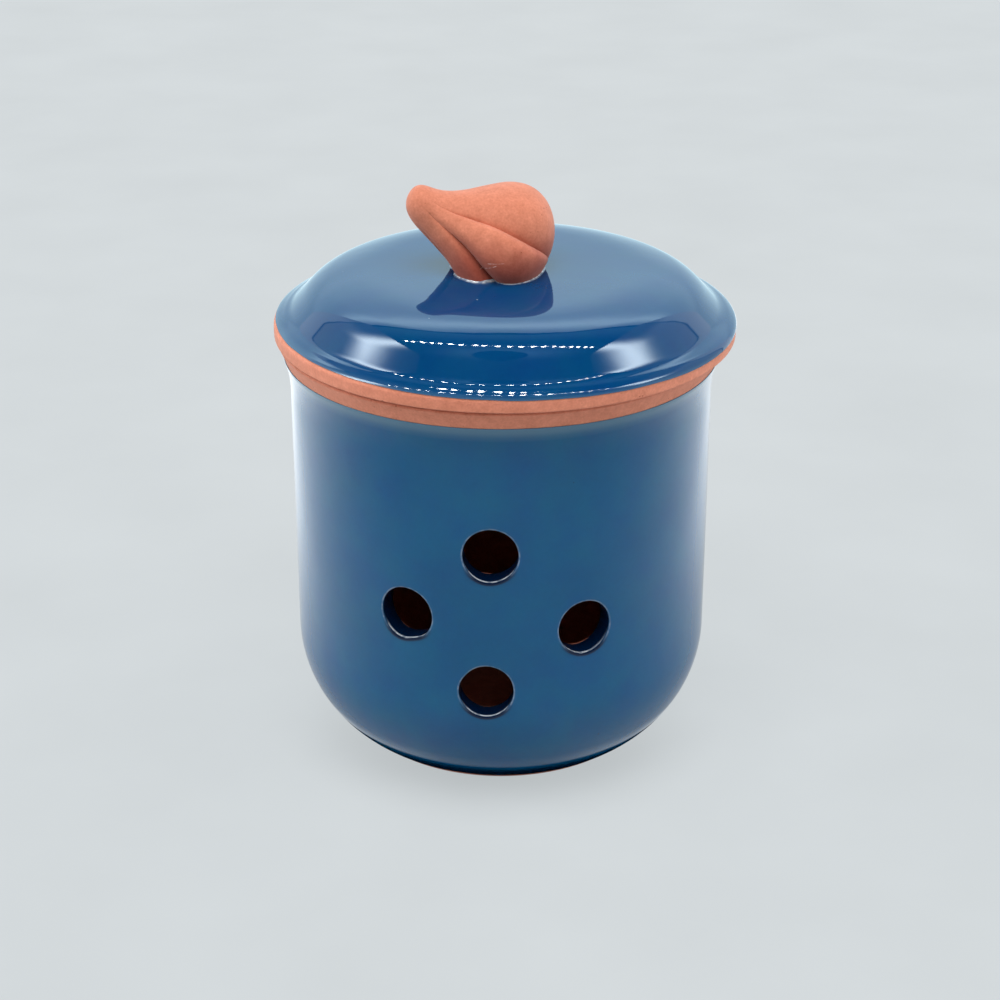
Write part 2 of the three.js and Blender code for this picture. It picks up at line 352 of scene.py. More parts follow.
def new_tree(name, kind, inputs, outputs):
    """A node group with named sockets. Returns the tree, its inputs and its output node."""
    tree = bpy.data.node_groups.new(name, kind)
    for side, sockets in (("INPUT", inputs), ("OUTPUT", outputs)):
        for label, value in sockets.items():
            tree.interface.new_socket(label, in_out=side, socket_type="NodeSocket" + value)
    return tree, add_node(tree, "NodeGroupInput"), tree.nodes.new("NodeGroupOutput")


def add_object(name, data):
    made = bpy.data.objects.new(name, data)
    bpy.context.scene.collection.objects.link(made)
    return made


def mesh_object(name, points, faces=()):
    mesh = bpy.data.meshes.new(name)
    mesh.from_pydata([tuple(p) for p in points], [], faces)
    mesh.update()
    return add_object(name, mesh)


def helper_object(name, points, faces=(), **attributes):
    """A mesh object that a node tree reads and that is removed afterwards."""
    made = mesh_object(name, points, faces)
    for label, (kind, values) in attributes.items():
        layer = made.data.attributes.new(label, kind, "POINT")
        layer.data.foreach_set("vector" if kind == "FLOAT_VECTOR" else "value", values)
    return made


def mark_points(mesh, label, values):
    """Writes one of the glaze's marks to the points of a mesh."""
    layer = mesh.attributes.get(label) or mesh.attributes.new(label, "FLOAT", "POINT")
    layer.data.foreach_set("value", values)


def tube_faces(rings, count, first=0):
    """Faces between closed rings of points, open at both ends."""
    faces = []
    for i in range(rings - 1):
        low, high = first + i * count, first + (i + 1) * count
        for j in range(count):
            k = (j + 1) % count
            faces.append((low + j, low + k, high + k, high + j))
    return faces


def closed_ring_faces(columns, rows):
    """Faces of a closed outline that is carried round in columns and meets itself."""
    faces = []
    for c in range(columns):
        here, there = c * rows, (c + 1) % columns * rows
        for k in range(rows):
            j = (k + 1) % rows
            faces.append((here + k, there + k, there + j, here + j))
    return faces


def apply_modifiers(made):
    """Turns an object's evaluated shape into its own plain mesh."""
    bpy.context.view_layer.update()
    evaluated = made.evaluated_get(bpy.context.evaluated_depsgraph_get())
    mesh = bpy.data.meshes.new_from_object(evaluated)
    made.modifiers.clear()
    made.data = mesh
    mesh.name = made.name


def subdivide(made):
    smooth = made.modifiers.new("Smooth", "SUBSURF")
    smooth.levels = smooth.render_levels = 1
    apply_modifiers(made)


def run_tree(name, tree, values, helpers, start=None):
    """A plain object made by a Geometry Nodes tree from named values. The helpers are removed."""
    made = start or mesh_object(name, [])
    modifier = made.modifiers.new(tree.name, "NODES")
    modifier.node_group = tree
    for item in tree.interface.items_tree:
        if item.in_out == "INPUT" and item.name in values:
            modifier[item.identifier] = values[item.name]
    apply_modifiers(made)
    for helper in helpers:
        bpy.data.objects.remove(helper)
    if not made.data.polygons:
        raise RuntimeError(f"{name} came out empty")
    return made


def finish_solid(made, sharp_degrees):
    """Merges doubles, turns every face outwards and shades the surface smooth up to an angle."""
    work = bmesh.new()
    work.from_mesh(made.data)
    bmesh.ops.remove_doubles(work, verts=work.verts, dist=SAME_PLACE)
    bmesh.ops.recalc_face_normals(work, faces=work.faces)
    for face in work.faces:
        face.smooth = True
    work.to_mesh(made.data)
    work.free()
    made.data.set_sharp_from_angle(angle=math.radians(sharp_degrees))


def dress(made, material, body, slot, *nodes):
    """Gives a piece its material, the body it rides on and the nodes it stands for. Its slot is not used."""
    if made.data.materials[:] != [material]:
        made.data.materials.clear()
        made.data.materials.append(material)
    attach(made, body)
    if nodes:
        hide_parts(*nodes)


def fade(value, low, high):
    """Smooth step from 0 to 1, in plain numbers."""
    part = min(1, max(0, (value - low) / (high - low)))
    return part * part * (3 - 2 * part)


# Outlines of the turned forms, as (radius, height) points


def arc(centre, radius, start, end, steps):
    """Points of an arc, as angles from straight down, turning outwards and up."""
    points = []
    for i in range(steps + 1):
        at = start + (end - start) * i / steps
        points.append((centre[0] + radius * math.sin(at), centre[1] - radius * math.cos(at)))
    return points


def foot_angle(jar, radius, depth):
    """Angle on the belly, from straight down, at which the outside reaches a radius."""
    return math.asin((radius - jar.radius + jar.belly_radius) / (jar.belly_radius - depth))


def glaze_start(jar):
    """Angle on the belly at which the glaze starts, a little outside the foot."""
    beside_foot, depth = 0.3 * MM, 0.5 * MM
    return foot_angle(jar, jar.foot_radius + beside_foot, depth)


def belly_height(jar):
    return jar.foot_height + jar.belly_radius * math.cos(glaze_start(jar))


def jar_outside(jar, depth, start, top):
    """The jar's outside from an angle on the belly up to a height, at a depth under the glazed surface."""
    centre = (jar.radius - jar.belly_radius, belly_height(jar))
    belly = arc(centre, jar.belly_radius - depth, start, math.pi / 2, 40)
    flare_start = jar.height - jar.flare_height
    flare_curve = (jar.flare_height**2 + jar.flare_out**2) / (2 * jar.flare_out)
    curve = flare_curve + depth
    end = math.asin((top - flare_start) / curve)
    wall_rows = 24
    r, z = belly[-1]
    wall = [(r, z + (flare_start - z) * i / wall_rows) for i in range(1, wall_rows)]
    flare = arc((jar.radius + flare_curve, flare_start), curve, -math.pi / 2, -math.pi / 2 - end, 14)
    return belly + wall + flare


def jar_inside(jar):
    """The inside from the middle of the floor up to the mouth, with shallow throwing rings."""
    centre = (jar.radius - jar.belly_radius, belly_height(jar))
    radius = jar.inner_radius - centre[0]
    floor_top = jar.foot_recess + jar.floor
    floor_angle = math.acos((centre[1] - floor_top) / radius)
    points = [(0, floor_top), (centre[0] * 0.6, floor_top)]
    points += arc(centre, radius, floor_angle, math.pi / 2, 24)
    wall_top = jar.height - jar.rim_round
    rows, fade_length = 80, 8 * MM
    for i in range(1, rows + 1):
        z = centre[1] + (wall_top - centre[1]) * i / rows
        ring = math.sin(TURN * (z - centre[1]) / jar.throwing_pitch) ** 2
        fading = min(1, (wall_top - z) / fade_length)
        points.append((jar.inner_radius - jar.throwing_depth * ring * fading, z))
    return points


def jar_clay_outline(jar, depth):
    """The whole clay jar, from under its middle round the outside and back to the axis."""
    top = jar.height - jar.rim_round
    rim = jar_outside(jar, depth, math.pi / 2, top)[-1]
    chamfer, worn_height, worn_width, beside_foot = 0.5 * MM, 0.05 * MM, 0.2 * MM, 0.05 * MM
    foot_inner = jar.foot_radius - jar.foot_ring
    start = foot_angle(jar, jar.foot_radius + beside_foot, depth)
    return [
        (0, jar.foot_recess),
        (foot_inner - 1.4 * jar.foot_recess, jar.foot_recess),
        (foot_inner - 0.5 * jar.foot_recess, 0.6 * jar.foot_recess),
        (foot_inner, worn_height),
        (foot_inner + worn_width, 0),
        *arc((jar.foot_radius - chamfer, chamfer), chamfer, 0, math.pi / 2, 4),
        *jar_outside(jar, depth, start, top),
        *arc((rim[0] - jar.rim_round, rim[1]), jar.rim_round, math.pi / 2, math.pi, 8)[1:],
        *arc((jar.inner_radius + jar.rim_round, rim[1]), jar.rim_round, -math.pi, -math.pi / 2, 8),
        *reversed(jar_inside(jar)[:-1]),
    ]


def lid_dome(lid, depth, last_slope):
    """The dome from the axis outwards, at a depth under the glazed surface, above the table."""
    reach = lid.radius - lid.edge_round * (1 - math.sin(lid.skirt_slope)) - depth * math.sin(lid.skirt_slope)
    stretches = [
        ("bend", lid.crown_curve, math.asin(lid.crown_flat / lid.crown_curve), 12),
        ("bend", lid.brow_curve, lid.brow_slope, 12),
        ("bend", lid.shoulder_curve, lid.shoulder_slope, 18),
        ("run", lid.slant, 0, 6),
        ("bend", -lid.skirt_curve, lid.skirt_slope, 8),
        ("reach", reach, 0, 8),
        ("bend", lid.edge_round, last_slope, 12),
    ]
    points = [(0, lid.crown - depth)]
    slope = 0
    for kind, size, target, steps in stretches:
        r, z = points[-1]
        if kind == "bend":
            radius = size - depth
            centre = (r - radius * math.sin(slope), z - radius * math.cos(slope))
            points += arc(centre, radius, math.pi - slope, math.pi - target, steps)[1:]
            slope = target
        else:
            run = size if kind == "run" else (size - r) / math.cos(slope)
            for i in range(1, steps + 1):
                along = run * i / steps
                points.append((r + along * math.cos(slope), z - along * math.sin(slope)))
    return points


def within(points, radius):
    """The part of an outward line that lies within a radius."""
    last = next(i for i, point in enumerate(points) if point[0] > radius)
    (r0, z0), (r1, z1) = points[last - 1], points[last]
    return points[:last] + [(radius, z0 + (z1 - z0) * (radius - r0) / (r1 - r0))]


def lid_clay_outline(lid, depth):
    """The whole clay lid, from the crown over the edge and the ring, back under the dome to the axis."""
    outside = lid_dome(lid, depth, math.pi / 2)
    widest = outside[-1]
    ring_inner = lid.ring_radius - lid.ring_wall
    ring_round, corner, added_clay = 1 * MM, 1 * MM, 0.8 * MM
    low = lid.seat - lid.ring_depth
    lip_centre = (widest[0] - lid.lip_round, lid.seat + lid.lip_round)
    inside = within(lid_dome(lid, lid.clay + added_clay, lid.skirt_slope), ring_inner)
    return [
        *outside,
        *arc(lip_centre, lid.lip_round, math.pi / 2, 0, 8),
        (lid.ring_radius + corner, lid.seat),
        (lid.ring_radius + 0.25 * corner, lid.seat - 0.25 * corner),
        (lid.ring_radius, lid.seat - corner),
        *arc((lid.ring_radius - ring_round, low + ring_round), ring_round, math.pi / 2, 0, 6),
        *arc((ring_inner + ring_round, low + ring_round), ring_round, 0, -math.pi / 2, 6),
        (ring_inner, inside[-1][1] - corner),
        (ring_inner - 0.3 * corner, inside[-1][1] - 0.2 * corner),
        *reversed(inside[:-2]),
    ]


def resampled(points, count):
    """A line with evenly spaced points."""
    reach = [0]
    for (r0, z0), (r1, z1) in zip(points, points[1:]):
        reach.append(reach[-1] + math.hypot(r1 - r0, z1 - z0))
    result = []
    k = 0
    for i in range(count):
        at = reach[-1] * i / (count - 1)
        while k < len(points) - 2 and reach[k + 1] < at:
            k += 1
        part = (at - reach[k]) / (reach[k + 1] - reach[k])
        (r0, z0), (r1, z1) = points[k], points[k + 1]
        result.append((r0 + (r1 - r0) * part, z0 + (z1 - z0) * part))
    return result


def down_to(points, height):
    """The part of a falling line that lies above a height."""
    last = next(i for i, point in enumerate(points) if point[1] < height)
    (r0, z0), (r1, z1) = points[last - 1], points[last]
    part = (height - z0) / (z1 - z0)
    return points[:last] + [(r0 + (r1 - r0) * part, height)]


# Geometry Nodes: turned ware, punched holes, the pierced coat and the row of diodes

WARE_SEAM, SHEET_SEAM, COAT_SEAM = 0.001 * MM, 0.02 * MM, 0.002 * MM  # gaps that are closed by merging
USUAL_RADIUS = 50 * MM  # the radius at which the unevenness has its full size
WANDER_SCALE, WANDER_RISE = 1.6, 14.0  # how fast it changes round the ware and up it
NARROW = 14.0  # how narrow a dent in a hole's rim is
EDGE_ONLY = 24.0  # how near the coat's upper edge its waves stay


def geometry_tree(name, inputs):
    """A tree that makes a shape from named inputs, the last of which is its material."""
    return new_tree(name, "GeometryNodeTree", {**inputs, "Material": "Material"}, {"Geometry": "Geometry"})


def end_tree(tree, given, output, geometry):
    """Every tree ends in Realize Instances and Set Material."""
    smooth = add_node(tree, "GeometryNodeSetShadeSmooth", {"Geometry": geometry})
    realized = add_node(tree, "GeometryNodeRealizeInstances", {"Geometry": smooth[0]})
    inputs = {"Geometry": realized[0], "Material": given["Material"]}
    fill(tree, output, {0: add_node(tree, "GeometryNodeSetMaterial", inputs)[0]})
    return tree


def object_geometry(source):
    return add_node(source.tree, "GeometryNodeObjectInfo", {"Object": source})["Geometry"]


def instances(points, instance, **others):
    inputs = {"Points": points, "Instance": instance, **others}
    return add_node(points.tree, "GeometryNodeInstanceOnPoints", inputs)[0]


def merged(geometry, distance):
    inputs = {"Geometry": geometry, "Distance": distance}
    return add_node(geometry.tree, "GeometryNodeMergeByDistance", inputs)[0]


def set_position(geometry, **inputs):
    return add_node(geometry.tree, "GeometryNodeSetPosition", {"Geometry": geometry, **inputs})[0]


def position(tree):
    return add_node(tree, "GeometryNodeInputPosition")[0]


def attribute(tree, name, kind="FLOAT_VECTOR"):
    return add_node(tree, "GeometryNodeInputNamedAttribute", {"Name": name}, data_type=kind)[0]


def around_axis(radius, turn, height):
    """A place at a radius and height, turned from the front towards the right."""
    x = radius * turn.math("SINE")
    y = radius * (turn.math("COSINE") * -1.0)
    return combine(turn.tree, x, y, height)


def wander(turn, height, amount, seed):
    """A slow unevenness round the ware, in metres."""
    tree = turn.tree
    circle = combine(tree, turn.math("SINE"), turn.math("COSINE"), height * WANDER_RISE)
    moved = vector_math("ADD", circle, {1: combine(tree, seed, seed, seed)})
    return (noise_value(moved, WANDER_SCALE) - 0.5) * (amount * 2.0)


def turned_ware_tree():
    """Turns an outline, given as the points of a mesh, about the axis."""
    inputs = {"Outline": "Object", "Outline Points": "Int", "Columns": "Int"}
    inputs.update({"Unevenness": "Float", "Seed": "Float"})
    tree, given, output = geometry_tree("Turned ware", inputs)
    count = given["Outline Points"]
    size = {"Size X": 1.0, "Size Y": 1.0, "Vertices X": given["Columns"] + 1.0, "Vertices Y": count}
    grid = add_node(tree, "GeometryNodeMeshGrid", size)
    place = separate(position(tree))
    turn = (place[0] + 0.5) * TURN
    row = ((place[1] + 0.5) * (count - 1.0)).math("ROUND")
    inputs = {"Geometry": object_geometry(given["Outline"]), "Value": position(tree), "Index": row}
    sample = add_node(tree, "GeometryNodeSampleIndex", inputs, data_type="FLOAT_VECTOR")
    outline = separate(sample[0])
    uneven = wander(turn, outline[2], given["Unevenness"], given["Seed"])
    radius = outline[0] * (uneven / USUAL_RADIUS + 1.0)
    placed = set_position(grid["Mesh"], Position=around_axis(radius, turn, outline[2]))
    return end_tree(tree, given, output, merged(placed, WARE_SEAM))


def punched_holes_tree():
    """Cuts a round hole at each place, square to the wall."""
    inputs = {"Ware": "Geometry", "Places": "Object", "Radius": "Float", "Depth": "Float"}
    tree, given, output = geometry_tree("Punched holes", inputs)
    size = {"Vertices": 64, "Radius": given["Radius"], "Depth": given["Depth"]}
    punch = add_node(tree, "GeometryNodeMeshCylinder", size)
    lying = combine(tree, math.pi / 2, 0.0, attribute(tree, "turn", "FLOAT"))
    rotation = add_node(tree, "FunctionNodeEulerToRotation", {0: lying})
    punches = instances(object_geometry(given["Places"]), punch["Mesh"], Rotation=rotation[0])
    solid = add_node(tree, "GeometryNodeRealizeInstances", {"Geometry": punches})
    inputs = {"Mesh 1": given["Ware"], "Mesh 2": solid[0]}
    cut = add_node(tree, "GeometryNodeMeshBoolean", inputs, operation="DIFFERENCE", solver="EXACT")
    return end_tree(tree, given, output, cut["Mesh"])


def pierced_coat_tree():
    """Sets a hole patch at each place of a flat sheet and wraps the sheet round the jar."""
    objects = ("Sheet", "Patch", "Places", "Outline")
    sizes = ("Radius", "Sheet Height", "Unevenness", "Edge Wave", "Rim Wobble", "Seed")
    inputs = {**dict.fromkeys(objects, "Object"), **dict.fromkeys(sizes, "Float")}
    tree, given, output = geometry_tree("Pierced coat", inputs)
    sheet, patch, places, source = (object_geometry(given[label]) for label in objects)
    radius, tall, unevenness, edge_wave, rim_wobble, seed = (given[label] for label in sizes)
    solid = add_node(tree, "GeometryNodeRealizeInstances", {"Geometry": instances(places, patch)})
    toward, shift, dent = (attribute(tree, label) for label in ("outward", "shift", "dent"))
    facing = vector_math("DOT_PRODUCT", toward, {1: dent}, "Value")
    dent_size = vector_math("LENGTH", dent, {}, "Value")
    share_of = facing / dent_size.math("MAXIMUM", 0.001 * MM)  # never a division by zero
    pushed = share_of.math("MAXIMUM", 0.0) ** NARROW * dent_size
    moved = vector_math("ADD", position(tree), {1: combine(tree, seed, 0.0, 0.0)})
    flat = vector_math("MULTIPLY", moved, {1: (1.0, 1.0, 0.0)})
    wobble = (noise_value(flat, 170.0) - 0.5) * (rim_wobble * 2.0)
    bulge = vector_math("SCALE", toward, {"Scale": wobble - pushed})
    both = vector_math("ADD", shift, {1: bulge})
    offset = vector_math("SCALE", both, {"Scale": attribute(tree, "rim", "FLOAT")})
    join = add_node(tree, "GeometryNodeJoinGeometry")
    for part in (sheet, set_position(solid[0], Offset=offset)):
        fill(tree, join.node, {0: part})
    inputs = {"Mesh": merged(join[0], SHEET_SEAM), "Level": 1}
    fine = add_node(tree, "GeometryNodeSubdivisionSurface", inputs, boundary_smooth="PRESERVE_CORNERS")
    place = separate(position(tree))
    turn = place[0] / radius
    wave = wander(turn, 0.0, edge_wave, seed + 7.0)
    along = place[1] + wave * (place[1] / tall) ** EDGE_ONLY
    outline = add_node(tree, "GeometryNodeSampleCurve", {"Curves": source, "Length": along}, mode="LENGTH")
    at = separate(outline["Position"])
    reach = at[0] + place[2] + wander(turn, at[2], unevenness, seed)
    wrapped = set_position(fine[0], Position=around_axis(reach, turn, at[2]))
    return end_tree(tree, given, output, merged(wrapped, COAT_SEAM))


def diode_row_tree():
    """Small round lamps along a line, each turned down."""
    inputs = {"Count": "Int", "Start": "Vector", "Step": "Vector", "Radius": "Float", "Seed": "Int"}
    tree, given, output = geometry_tree("Diode row", inputs)
    inputs = {"Count": given["Count"], "Start Location": given["Start"], "Offset": given["Step"]}
    line = add_node(tree, "GeometryNodeMeshLine", inputs, mode="OFFSET")
    inputs = {"Vertices": 12, "Radius": given["Radius"]}
    disc = add_node(tree, "GeometryNodeMeshCircle", inputs, fill_type="NGON")
    inputs = {0: (-1.6 * MM, -0.8 * MM, 0.0), 1: (1.6 * MM, 0.8 * MM, 0.0), "Seed": given["Seed"]}
    scatter = add_node(tree, "FunctionNodeRandomValue", inputs, data_type="FLOAT_VECTOR")
    lamps = instances(set_position(line[0], Offset=scatter[0]), disc[0])
    return end_tree(tree, given, output, lamps)


# Finishes, and the shader groups that they share

GLAZE_MARKS = ("glaze_thin", "glaze_pool", "glaze_edge")
SCRATCHES = (((-5.0, 120.0), (-0.93, 122.0)), ((-3.2, 122.2), (0.9, 122.7)))  # in mm, across and up
BLACK = (0.0, 0.0, 0.0)


def object_place(tree):
    return add_node(tree, "ShaderNodeTexCoord")["Object"]


def voronoi(place, scale):
    return add_node(place.tree, "ShaderNodeTexVoronoi", {"Vector": place, "Scale": scale})


def fired_grain_group():
    """Sandy grain of fired clay: colour clouds, dark pores, pale grit and a fine relief."""
    found = bpy.data.node_groups.get("Fired grain")
    if found:
        return found
    inputs = {"Colour": "Color", "Cloud": "Float", "Grit": "Float", "Roughness": "Float"}
    outputs = {"Colour": "Color", "Roughness": "Float", "Height": "Float"}
    tree, given, output = new_tree("Fired grain", "ShaderNodeTree", inputs, outputs)
    place = object_place(tree)
    cloud = noise_value(place, 70.0, 4.0)
    sand = noise_value(place, 1900.0, 2.0)
    coarse = noise_value(place, 520.0, 3.0)
    pore = 1.0 - smooth_step(voronoi(place, 640.0)["Distance"], 0.05, 0.16)
    pore = pore * smooth_step(noise_value(place, 160.0, 1.0), 0.52, 0.62)
    grit = (sand - 0.5) * given["Grit"]
    light = 1.0 + (cloud - 0.5) * given["Cloud"] + (grit + (coarse - 0.5) * given["Grit"]) - pore * 0.42
    grey = combine(tree, light, light**1.35, light**1.6)
    tinted = mixed_colour(tree, 1.0, given["Colour"], grey, "MULTIPLY")
    height = sand + coarse * 1.2 - pore * 1.5
    fill(tree, output, {"Colour": tinted, "Roughness": given["Roughness"] + grit * 0.6, "Height": height})
    return tree


def kiln_flecks_group():
    """Rare specks in a fired surface: pale pinholes and dark iron spots."""
    found = bpy.data.node_groups.get("Kiln flecks")
    if found:
        return found
    inputs = dict.fromkeys(("Scale", "Size", "Rarity"), "Float")
    outputs = {"Pale": "Float", "Dark": "Float"}
    tree, given, output = new_tree("Kiln flecks", "ShaderNodeTree", inputs, outputs)
    cells = voronoi(object_place(tree), given["Scale"])
    spot = 1.0 - smooth_step(cells["Distance"], 0.0, given["Size"])
    lot = separate(cells["Color"])
    for k, label in enumerate(outputs):
        fill(tree, output, {label: spot * lot[k].math("GREATER_THAN", given["Rarity"])})
    return tree


def new_material(name):
    """A material with only a Principled shader. Returns it, its tree and the shader."""
    made = bpy.data.materials.new(name)
    made.use_nodes = True
    tree = made.node_tree
    return made, tree, tree.nodes["Principled BSDF"]


def relief_normal(height, strength, distance):
    inputs = {"Height": height, "Strength": strength, "Distance": distance}
    return add_node(height.tree, "ShaderNodeBump", inputs)[0]


def scratch_mask(place, start, end):
    """1 along a fine straight scratch on the front, which fades out at its ends."""
    reach = Vector(end) - Vector(start)
    line = reach.normalized()
    at = separate(place)
    x = at[0] - start[0]
    z = at[2] - start[1]
    along = x * line.x + z * line.y
    beside = z * line.x - x * line.y
    fading, front, half_width = 0.4 * MM, (-1 * MM, -3 * MM), (0.13 * MM, 0.03 * MM)
    ends = along.math("MINIMUM", reach.length - along)
    mask = smooth_step(ends, 0.0, fading) * smooth_step(at[1], *front)
    thin = smooth_step(beside.math("ABSOLUTE"), *half_width)
    return mask * thin * smooth_step(noise_value(place, 900.0, 1.0), 0.35, 0.6)


def clay_with_painted_shade(tree, body, low, high, darker):
    """Clay with painted shade: darker below a height, as shade under the knob, with the scratches. Its
    reflection in the glaze is painted darker than it looks.
    """
    place = object_place(tree)
    raggedness = 6 * MM
    ragged = (noise_value(place, 180.0) - 0.5) * raggedness
    # Painted shade: 1 low on the knob, where shade falls near the lid, and 0 higher up
    foot = smooth_step(separate(place)[2] + ragged, high, low)
    body = mixed_colour(tree, foot, body, mixed_colour(tree, 1.0, body, darker, "MULTIPLY"))
    for ends in SCRATCHES:
        start, end = [(x * MM, z * MM) for x, z in ends]
        body = mixed_colour(tree, scratch_mask(place, start, end) * 0.6, body, (0.8, 0.62, 0.55))
    # Painted reflection: for glossy rays the knob's colour is darkened, so its image in the glaze is darker
    painted_dark_reflection = add_node(tree, "ShaderNodeLightPath")["Is Glossy Ray"] * 0.6
    return mixed_colour(tree, painted_dark_reflection, body, BLACK)


def clay_material(name, tint, roughness, cloud, grit, shade=None):
    """Bare fired clay. The shade is (low, high, colour): below low the clay is darker by that colour, which
    is painted shade.
    """
    made, tree, shader = new_material(name)
    inputs = {"Colour": tint, "Cloud": cloud, "Grit": grit, "Roughness": roughness}
    grain = add_node(tree, "ShaderNodeGroup", inputs, node_tree=fired_grain_group())
    body = grain["Colour"]
    if shade:
        body = clay_with_painted_shade(tree, body, *shade)
    relief = 0.06 * MM
    normal = relief_normal(grain["Height"], 0.55, relief)
    fill(tree, shader, {"Base Color": body, "Roughness": grain["Roughness"], "Normal": normal})
    fill(tree, shader, {"IOR": 1.4, "Specular IOR Level": 0.18})
    fill(tree, shader, {"Sheen Weight": 0.2, "Sheen Tint": (1.0, 0.9, 0.84)})
    made.diffuse_color = (*tint, 1)
    return made


def terracotta_material(finish):
    found = bpy.data.materials.get("keeper_clay")
    return found or clay_material("keeper_clay", finish.clay, finish.clay_roughness, 0.24, 0.34)


def glaze_material(finish, name, tint):
    """Glossy glaze: pale where it breaks over an edge, darker where it pools and where shade is painted,
    with a painted highlight line and rare flecks.
    """
    if name in bpy.data.materials:
        return bpy.data.materials[name]
    made, tree, shader = new_material(name)
    place = object_place(tree)
    thin, pool, edge = (
        add_node(tree, "ShaderNodeAttribute", attribute_name=label)["Fac"] for label in GLAZE_MARKS
    )
    speck = noise_value(place, 900.0, 2.0)
    light = noise_value(place, 55.0, 3.0) * 0.22 + speck * 0.12 + 0.83
    greener = light * (noise_value(place, 120.0, 3.0) * 0.5 + 0.75)
    body = mixed_colour(tree, 1.0, tint, combine(tree, light, greener, light), "MULTIPLY")
    inputs = {"Scale": 190.0, "Size": 0.06, "Rarity": 0.965}
    flecks = add_node(tree, "ShaderNodeGroup", inputs, node_tree=kiln_flecks_group())
    gaps = smooth_step(noise_value(place, 700.0, 1.0), 0.4, 0.58)
    # Pooled glaze and painted shade darken the blue first
    for factor, laid_over in (
        (pool, finish.pooled_glaze_and_shade),
        (thin, finish.glaze_thin),
        (flecks["Dark"], (0.004, 0.006, 0.01)),
        (flecks["Pale"], (0.42, 0.5, 0.55)),
        # Painted highlight along the glaze's edges, broken by gaps
        (edge * (gaps * 0.65 + 0.35), finish.glaze_edge),
    ):
        body = mixed_colour(tree, factor, body, laid_over)
    ripple = noise_value(place, 150.0, 1.0) + speck * 0.02 - flecks["Pale"] * 0.12
    ripple_height = 0.035 * MM
    fill(tree, shader, {"Base Color": body, "Normal": relief_normal(ripple, 1.0, ripple_height)})
    fill(tree, shader, {"Roughness": flecks["Pale"] * 0.3 + finish.glaze_roughness})
    fill(tree, shader, {"IOR": 1.5, "Specular IOR Level": 0.4})
    made.diffuse_color = (0.02, 0.08, 0.2, 1)
    return made


def lid_glaze_material(finish):
    return glaze_material(finish, "keeper_lid_glaze", finish.lid_glaze)


# The pieces


def hole_places(holes):
    """Turn from the front, height, and a dent in the rim, for each air hole."""
    shares = [(-0.115, 1), (-1.06, 0.03), (0.93, -0.14), (-0.165, -1)]
    dents = [(0.05, -0.1), (0.12, -0.42), (-0.1, -0.12), (-0.22, 0.2)]
    return [
        (across * holes.turn, holes.height + up * holes.rise, (dx * MM, dy * MM, 0))
        for (across, up), (dx, dy) in zip(shares, dents)
    ]


def outline_curve(name, outline):
    """An outline as a curve, for the pierced coat tree."""
    curve = bpy.data.curves.new(name, "CURVE")
    curve.dimensions = "3D"
    spline = curve.splines.new("POLY")
    spline.points.add(len(outline) - 1)
    for point, (r, z) in zip(spline.points, outline):
        point.co = (r, 0, z, 1)
    return add_object(name, curve)


def turned_piece(name, outline, columns, unevenness, seed, material):
    source = helper_object(f"{name}_outline", [(r, 0, z) for r, z in outline])
    values = {"Outline": source, "Outline Points": len(outline), "Columns": columns}
    values.update({"Unevenness": unevenness, "Seed": seed, "Material": material})
    return run_tree(name, turned_ware_tree(), values, [source])


def make_jar_clay(scene):
    jar, holes, finish = scene.keeper_jar, scene.keeper_holes, scene.keeper_finish
    material = terracotta_material(finish)
    made = turned_piece("jar_clay", jar_clay_outline(jar, finish.step), 128, 0.0, 1.0, material)
    finish_solid(made, 30)
    middle = (jar.inner_radius + jar.radius) / 2
    places = hole_places(holes)
    points = [(middle * math.sin(turn), -middle * math.cos(turn), z) for turn, z, _ in places]
    punches = helper_object("punch_places", points, turn=("FLOAT", [turn for turn, _, _ in places]))
    values = {"Places": punches, "Radius": holes.radius + holes.clearance, "Material": material}
    values["Depth"] = 3 * (jar.radius - jar.inner_radius)
    run_tree("jar_clay", punched_holes_tree(), values, [punches], start=made)
    finish_solid(made, 30)
    dress(made, material, "jar", "terracotta", "jar_body")


